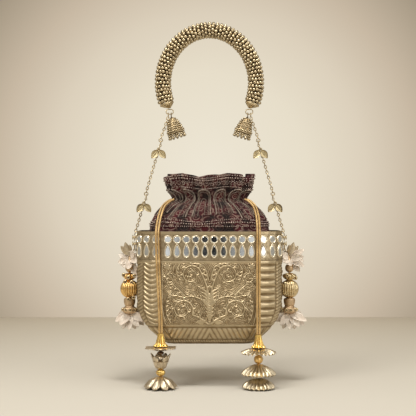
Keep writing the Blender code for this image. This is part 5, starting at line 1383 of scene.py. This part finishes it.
# Cord tassels. Cast and stamped brass-toned plastic parts are threaded on the two strands: a fluted
# cone, petal discs, beads, a tulip cup and petal skirts on the left, pleated shells on the right.
TASSEL_X = 0.0503
TASSEL_Y = -0.0478
PETAL_THICKNESS = 0.00035
CONE = (
    # radius, depth below the top, flute and lift at the petals, as in the six tables below
    (0.0030, 0.0, 0, 0), (0.0034, 0.0040, 0.0003, 0), (0.0052, 0.0105, 0.0007, 0),
    (0.0074, 0.0128, 0.0009, 0), (0.0060, 0.0134, 0, 0),
)
WINGED_DISC = (
    (0.0030, 0.0, 0, 0), (0.0090, 0.0004, 0.0020, 0.0002), (0.0138, 0.0010, 0.0032, 0.0006),
    (0.0136, 0.0020, 0.0032, 0.0006), (0.0090, 0.0026, 0.0018, 0), (0.0035, 0.0042, 0, 0),
)
TULIP = (
    (0.0030, 0.0, 0, 0), (0.0052, 0.0, 0, 0), (0.0080, -0.0022, 0.0006, 0.0004),
    (0.0074, -0.0018, 0.0006, 0.0004), (0.0060, 0.0030, 0.0003, 0), (0.0040, 0.0050, 0, 0),
)
SKIRT = (
    (0.0030, 0.0, 0, 0), (0.0096, 0.0032, 0.0010, 0.0004), (0.0140, 0.0070, 0.0020, -0.0010),
    (0.0155, 0.0096, 0.0020, -0.0014), (0.0146, 0.0099, 0.0020, -0.0012),
    (0.0128, 0.0076, 0.0014, -0.0006), (0.0086, 0.0046, 0.0006, 0), (0.0040, 0.0042, 0, 0),
)
INNER_SKIRT = [(0.80 * r, 0.0004 + 0.9 * d, 1.1 * f, 1.2 * u) for r, d, f, u in SKIRT]
PLEATED_DISC = (
    (0.0035, 0.0, 0, 0), (0.0080, 0.0010, 0.0005, 0.0003), (0.0125, 0.0024, 0.0006, 0.0007),
    (0.0172, 0.0048, 0.0007, 0.0009), (0.0168, 0.0054, 0.0007, 0.0009),
    (0.0110, 0.0036, 0.0004, 0.0005), (0.0040, 0.0068, 0, 0),
)
UPPER_SHELL = (
    (0.0030, 0.0, 0, 0), (0.0060, 0.0014, 0.0005, 0.0003), (0.0110, 0.0046, 0.0009, 0.0007),
    (0.0150, 0.0080, 0.0012, 0.0009), (0.0168, 0.0102, 0.0012, 0.0010),
    (0.0164, 0.0107, 0.0012, 0.0010), (0.0110, 0.0068, 0.0007, 0.0006),
    (0.0060, 0.0080, 0, 0), (0.0045, 0.0136, 0, 0),
)
LOWER_SHELL = (
    (0.0040, 0.0, 0, 0), (0.0070, 0.0014, 0.0005, 0.0003), (0.0110, 0.0040, 0.0009, 0.0007),
    (0.0140, 0.0068, 0.0012, 0.0009), (0.0156, 0.0092, 0.0012, 0.0010),
    (0.0152, 0.0097, 0.0012, 0.0010), (0.0100, 0.0062, 0.0006, 0.0005), (0.0060, 0.0108, 0, 0),
)
TULIP_PETALS = (
    # bearing in degrees, length
    (8, 0.0118), (58, 0.0112), (112, 0.0112), (168, 0.0122), (222, 0.0092), (318, 0.0096),
)


def off_axis(centre, reach, angle, height):
    """The place at a reach and an angle from an upright line through the centre."""
    return (centre[0] + reach * math.cos(angle), centre[1] + reach * math.sin(angle), height)


def petalled(centre, top, levels, petals, ribs=0, rib_depth=0.0, sharpness=0.7, sides=144,
             start=math.pi / 2):
    """A cast form of petals: levels are radius, depth below the top, flute and lift at the petals."""
    rows = []
    widest = max(level[0] for level in levels)
    for radius, depth, flute, lift in round_profile(levels):
        row = []
        for angle in around(sides):
            swell = 2 * abs(math.cos(petals * (angle - start) / 2)) ** sharpness - 1
            line = rib_depth * abs(math.cos(ribs * angle / 2)) * (radius / widest) if ribs else 0.0
            row.append(off_axis(centre, radius + flute * swell - line, angle, top - depth + lift * swell))
        rows.append(row)
    return surface(rows, ends=True)


def petal(base, along, right, length, width, cup, droop, thickness=PETAL_THICKNESS, veins=0.0):
    """A pointed petal from its base along a direction, cupped across and drooping at its tip."""
    front = along.cross(right)
    rows = []
    steps, across = 18, 10
    for i in range(steps + 1):
        share = i / steps
        half = width / 2 * math.sin(math.pi * min(0.985, 0.04 + 0.95 * share) ** 0.9) ** 0.7
        middle = base + share * length * along - droop * share**2 * front
        face, back = [], []
        for k in range(across + 1):
            t = -1 + 2 * k / across
            vein = veins * abs(math.cos(2.5 * math.pi * t)) ** 0.6
            point = middle + t * half * right + (cup * t**2 * math.sin(math.pi * share)) * front
            face.append(point + (thickness / 2 + vein) * front)
            back.append(point - thickness / 2 * front)
        rows.append(face + back[::-1])
    return surface(rows, ends=True)


def round_bead(centre, top, radius, height, hole=0.3, ribs=0, rib_depth=0.0, sides=48):
    """A turned bead with a hole at each end, ribbed lengthwise where ribs are given."""
    rows = []
    for i in range(17):
        turn = math.pi * i / 16
        reach = max(hole * radius, radius * math.sin(turn) ** 0.9 if 0 < i < 16 else hole * radius)
        row = []
        for angle in around(sides):
            line = rib_depth * (1 - abs(math.cos(ribs * angle / 2)) ** 0.6) * math.sin(turn) if ribs else 0.0
            row.append(off_axis(centre, reach - line, angle, top - height * (0.5 - 0.5 * math.cos(turn))))
        rows.append(row)
    return surface(rows, ends=True)


def rod(centre, top, bottom, radius=0.0012):
    """The thread through a stack of beads."""
    rows = [[off_axis(centre, radius, angle, z) for angle in around(8)] for z in (top, bottom)]
    return surface(rows, ends=True)


dark_bead = metal("dark_bead", (0.16, 0.10, 0.06), (0.04, 0.025, 0.015), 0.22, 0.006, 0.6)
taupe_gold = metal("taupe_gold", (0.66, 0.56, 0.41), (0.26, 0.19, 0.11), 0.38, 0.005, 0.6)
amber_gold = metal("amber_gold", (0.90, 0.60, 0.24), (0.42, 0.24, 0.07), 0.26, 0.006, 0.6)
shell_gold = metal("shell_gold", (0.76, 0.66, 0.48), (0.16, 0.11, 0.055), 0.30, 0.005, 0.7)
left = (-TASSEL_X, TASSEL_Y)
right = (TASSEL_X, TASSEL_Y)
tulip = [petalled(left, -0.34168, TULIP, 6)]
for bearing, length in TULIP_PETALS:
    bearing = math.radians(bearing)
    out = Vector((math.cos(bearing), math.sin(bearing), 0))
    along = (0.50 * out + Vector((0, 0, 0.866))).normalized()
    base = Vector((*left, -0.3424)) + 0.0058 * out
    sideways = along.cross(out).normalized()
    tulip.append(petal(base, along, sideways, length, 0.0078, 0.0016, -0.0016, 0.0006, 0.0004))
skirts = [
    petalled(left, -0.35468, SKIRT, 9, 45, 0.0006, 0.8),
    petalled(left, -0.35600, INNER_SKIRT, 7, 28, 0.0005, 0.8),
]
for name, node, surfaces, finish, slot, sharp in (
    ("left_fluted_cone", "left_cone", [petalled(left, -0.31058, CONE, 12, 24, 0.0004, 0.6)],
     bright_gold, "bright_bead", 60),
    ("right_fluted_cone", "right_cone", [petalled(right, -0.31178, CONE, 12, 24, 0.0004, 0.6)],
     bright_gold, "bright_bead", 60),
    ("left_winged_disc", "left_petal_disc", [petalled(left, -0.32428, WINGED_DISC, 6, 36, 0.0004)],
     taupe_gold, "leaf_gold", 60),
    ("left_dark_bead", "left_neck_bead", [round_bead(left, -0.32878, 0.0036, 0.0038)],
     dark_bead, "dark_bead", None),
    ("left_bead", "left_round_bead", [round_bead(left, -0.33288, 0.0042, 0.0085, 0.3, 12, 0.0004)],
     taupe_gold, "leaf_gold", None),
    ("left_tulip", "left_tulip_cup", tulip, taupe_gold, "leaf_gold", 60),
    ("left_bright_bead", "left_gold_bead",
     [round_bead(left, -0.34698, 0.0049, 0.0074, 0.3, 10, 0.0005), rod(left, -0.326, -0.357)],
     bright_gold, "bright_bead", None),
    ("left_skirt", "left_petal_skirt", skirts, taupe_gold, "leaf_gold", 60),
    ("right_pleated_disc", "right_fluted_disc", [petalled(right, -0.32548, PLEATED_DISC, 22, sides=220)],
     shell_gold, "bright_bead", 60),
    ("right_bead", "right_round_bead",
     [round_bead(right, -0.33258, 0.0047, 0.0092, 0.3, 12, 0.0005), rod(right, -0.326, -0.357)],
     amber_gold, "leaf_gold", None),
    ("right_upper_shell", "right_umbrella", [petalled(right, -0.34208, UPPER_SHELL, 22, sides=220)],
     shell_gold, "bright_bead", 60),
    ("right_lower_shell", "right_shell_disc",
     [petalled(right, -0.35658, LOWER_SHELL, 20, sides=200, start=1.4)], shell_gold, "leaf_gold", 60),
):
    build(f"tassel_{name}", surfaces, finish, "basket", [f"tassel_{node}"], sharp)


# Side tassels. On the lower stud's ring hang ribbed metal leaves, two flowers of stiffened ivory
# gauze petals, a matt bead, a large ribbed bead with small pierced balls, and a spool bead.
SIDE_X = 0.0855
SIDE_HINGE_Z = -0.22638
UPPER_PETALS = {
    # turn as the front shows it and lean forward, in degrees, and length
    "right": (
        (149, 15, 0.0112), (34, 10, 0.0180), (12, 30, 0.0168), (-27, 20, 0.0172), (-50, 5, 0.0158),
        (-8, -25, 0.0160), (172, -30, 0.0120), (204, 35, 0.0095), (-76, 50, 0.0105), (66, -40, 0.0120),
        (120, -45, 0.0110),
    ),
    "left": (
        (197, 10, 0.0118), (66, 15, 0.0098), (-66, 12, 0.0225), (24, -4, 0.0108), (-22, 28, 0.0118),
        (158, -20, 0.0118), (232, 20, 0.0110), (-100, 34, 0.0120), (112, -30, 0.0105), (-30, -50, 0.0100),
        (214, -30, 0.0120),
    ),
}
LOWER_PETALS = (
    (205, 15, 0.0160), (228, 35, 0.0160), (244, 10, 0.0165), (-90, 28, 0.0168), (-70, 5, 0.0165),
    (-52, 30, 0.0172), (-36, 10, 0.0185), (-20, 25, 0.0192), (-6, -20, 0.0160), (190, -25, 0.0140),
    (218, -35, 0.0160), (-100, -30, 0.0165), (-62, -38, 0.0170), (-34, -42, 0.0165),
)
RIBBED_LEAVES = (
    # lean in degrees, length, place in Y
    (-8, 0.0118, -0.0010), (14, 0.0150, -0.0024), (42, 0.0135, -0.0002),
)
LEAF_CAP = (
    (0.0030, 0.0, 0, 0), (0.0062, 0.0016, 0.0006, 0), (0.0064, 0.0040, 0.0008, 0),
    (0.0050, 0.0062, 0.0003, 0), (0.0040, 0.0070, 0, 0),
)
SPOOL = round_profile((
    # height along the spool, radius
    (0.0, 0.0046), (0.0008, 0.0058), (0.0030, 0.0062), (0.0066, 0.0056), (0.0084, 0.0048),
    (0.0098, 0.0060), (0.0110, 0.0074), (0.0140, 0.0074), (0.0156, 0.0058), (0.0164, 0.0046),
), 4)
PIERCED_REACH = 0.0074
PIERCED_RING = (9, -0.2902, 0.0040)
PIERCED_SIZE = 0.0046
PIERCED_GROUPS = {
    # angle round the tassel in radians, height
    "right": ((-1.9, -0.2535), (-0.6, -0.2562), (0.7, -0.2546)),
    "left": (
        (-2.5, -0.2530), (-1.7, -0.2556), (-0.8, -0.2538), (-2.2, -0.2602), (-1.2, -0.2606),
        (-1.7, -0.2786), (-0.9, -0.2768),
    ),
}


def flower_of(centre, top, petals, width, droop):
    """Petals that face the front; each has its turn seen from there, its lean forward and its length."""
    made = []
    for turn, forward, length in petals:
        turn, forward = math.radians(turn), math.radians(forward)
        level = math.cos(forward)
        along = Vector((level * math.cos(turn), -math.sin(forward), level * math.sin(turn)))
        face = Vector((draw.uniform(-0.3, 0.3), -0.9, draw.uniform(0.1, 0.6)))
        face = (face - face.dot(along) * along).normalized()
        base = Vector((*centre, top)) + 0.0012 * along
        made.append(petal(base, along, face.cross(along), length, width, 0.0016, droop))
    return made


gauze, tree, output = new_material("ivory_gauze")
gauze_place = own_place(tree)
gauze_tone = speckle(tree, gauze_place, 130.0, 2.0)
end_in(tree, output, {
    "Base Color": ramp_between(tree, gauze_tone, ((0.3, (0.60, 0.50, 0.41)), (0.7, (0.85, 0.78, 0.69)))),
    "Roughness": 0.6, "Normal": bumped(tree, speckle(tree, gauze_place, 1700.0, 3.0), 0.3),
    "Sheen Weight": 0.2,
})
matt_tan = metal("matt_tan", (0.66, 0.49, 0.31), (0.42, 0.29, 0.17), 0.50, 0.004, 0.6)
pale_gold = metal("pale_gold", (0.74, 0.60, 0.36), (0.34, 0.24, 0.11), 0.26, 0.004, 0.7)
pierced_outline = oval(Vector(), ACROSS, DOWN, 0.31, 0.31, 14)
pierced_ball = pattern_object("pierced_ball", [wire_loop(pierced_outline, BACK, 0.19)])

for side, sign in SIDES:
    body = f"side_tassel_{side}"
    centre = (sign * SIDE_X, 0.0)
    hinge = Vector((sign * STUD[0], 0, SIDE_HINGE_Z))
    leaves = [wire_loop(oval(hinge, ACROSS, DOWN, 0.0014, 0.0014, 18), BACK, 0.00045)]
    stem = [hinge + Vector((sign * 0.0014, 0, -0.0006)), hinge + Vector((sign * 0.0040, 0, -0.0040)),
            Vector((sign * SIDE_X, 0, SIDE_HINGE_Z - 0.0066))]
    leaves.append(tube(*smooth_path(stem, 0.0005), 0.0006, 10))
    for lean, length, forward in RIBBED_LEAVES:
        turn = math.radians(lean)
        along = Vector((sign * math.sin(turn), 0, math.cos(turn)))
        right_axis = Vector((math.cos(turn), 0, -sign * math.sin(turn)))
        base = Vector((sign * (SIDE_X + 0.0012), forward, SIDE_HINGE_Z - 0.0052))
        leaves.append(petal(base, along, right_axis, length * 0.92, 0.0062, 0.0009, 0.0, 0.0005, 0.0004))
    build(f"{body}_ribbed_leaves", leaves, taupe_gold, body, [f"{body}_leaf_pair"], 60)
    upper = flower_of(centre, -0.2365, UPPER_PETALS[side], 0.0082, -0.0014)
    build(f"{body}_upper_petals", upper, gauze, body, [f"{body}_flower"])
    matt_bead = [round_bead(centre, -0.24120, 0.0046, 0.0092), rod(centre, -0.2325, -0.2960)]
    build(f"{body}_matt_bead", matt_bead, matt_tan, body, [f"{body}_matte_bead"])
    cap = petalled(centre, -0.25108, LEAF_CAP, 8, 0, 0.0, 0.8)
    ribbed = round_bead(centre, -0.25820, 0.0100, 0.0196, 0.3, 20, 0.0008, 120)
    bead_gold = amber_gold if side == "left" else pale_gold
    build(f"{body}_ribbed_bead", [cap, ribbed], bead_gold, body, [f"{body}_big_bead"], 60)
    spool = lathe(Vector((*centre, -0.27788)), DOWN, SPOOL, 48)
    build(f"{body}_spool_bead", [spool], matt_tan, body, [f"{body}_spool"])
    count, z, size = PIERCED_RING
    ring = [(Vector(off_axis(centre, PIERCED_REACH, angle, z)), UNTURNED, size) for angle in around(count)]
    group = [(Vector(off_axis(centre, PIERCED_REACH, angle, z)), UNTURNED, PIERCED_SIZE)
             for angle, z in PIERCED_GROUPS[side]]
    pierced = ring + group
    copies(f"{body}_pierced_balls", pierced, pierced_ball, pale_gold, body, ())
    # Painted shade: a dark ball inside each pierced ball fills its hole, so the hole shows as shade.
    hole_shade_spots = [(place, turn, 0.6 * size) for place, turn, size in pierced]
    copies(f"{body}_ball_holes", hole_shade_spots, small_ball, dark_bead, body, ())
    lower = flower_of(centre, -0.2945, LOWER_PETALS, 0.0092, 0.0020)
    build(f"{body}_lower_petals", lower, gauze, body, [f"{body}_petal_skirt"])


# Soft parts and clean-up. The length along each strand is summed, and the patterns are removed.
for name, (strand, path) in strands.items():
    length = float(np.linalg.norm(np.diff(path, axis=0), axis=1).sum())
for pattern in patterns:
    bpy.data.objects.remove(pattern, do_unlink=True)
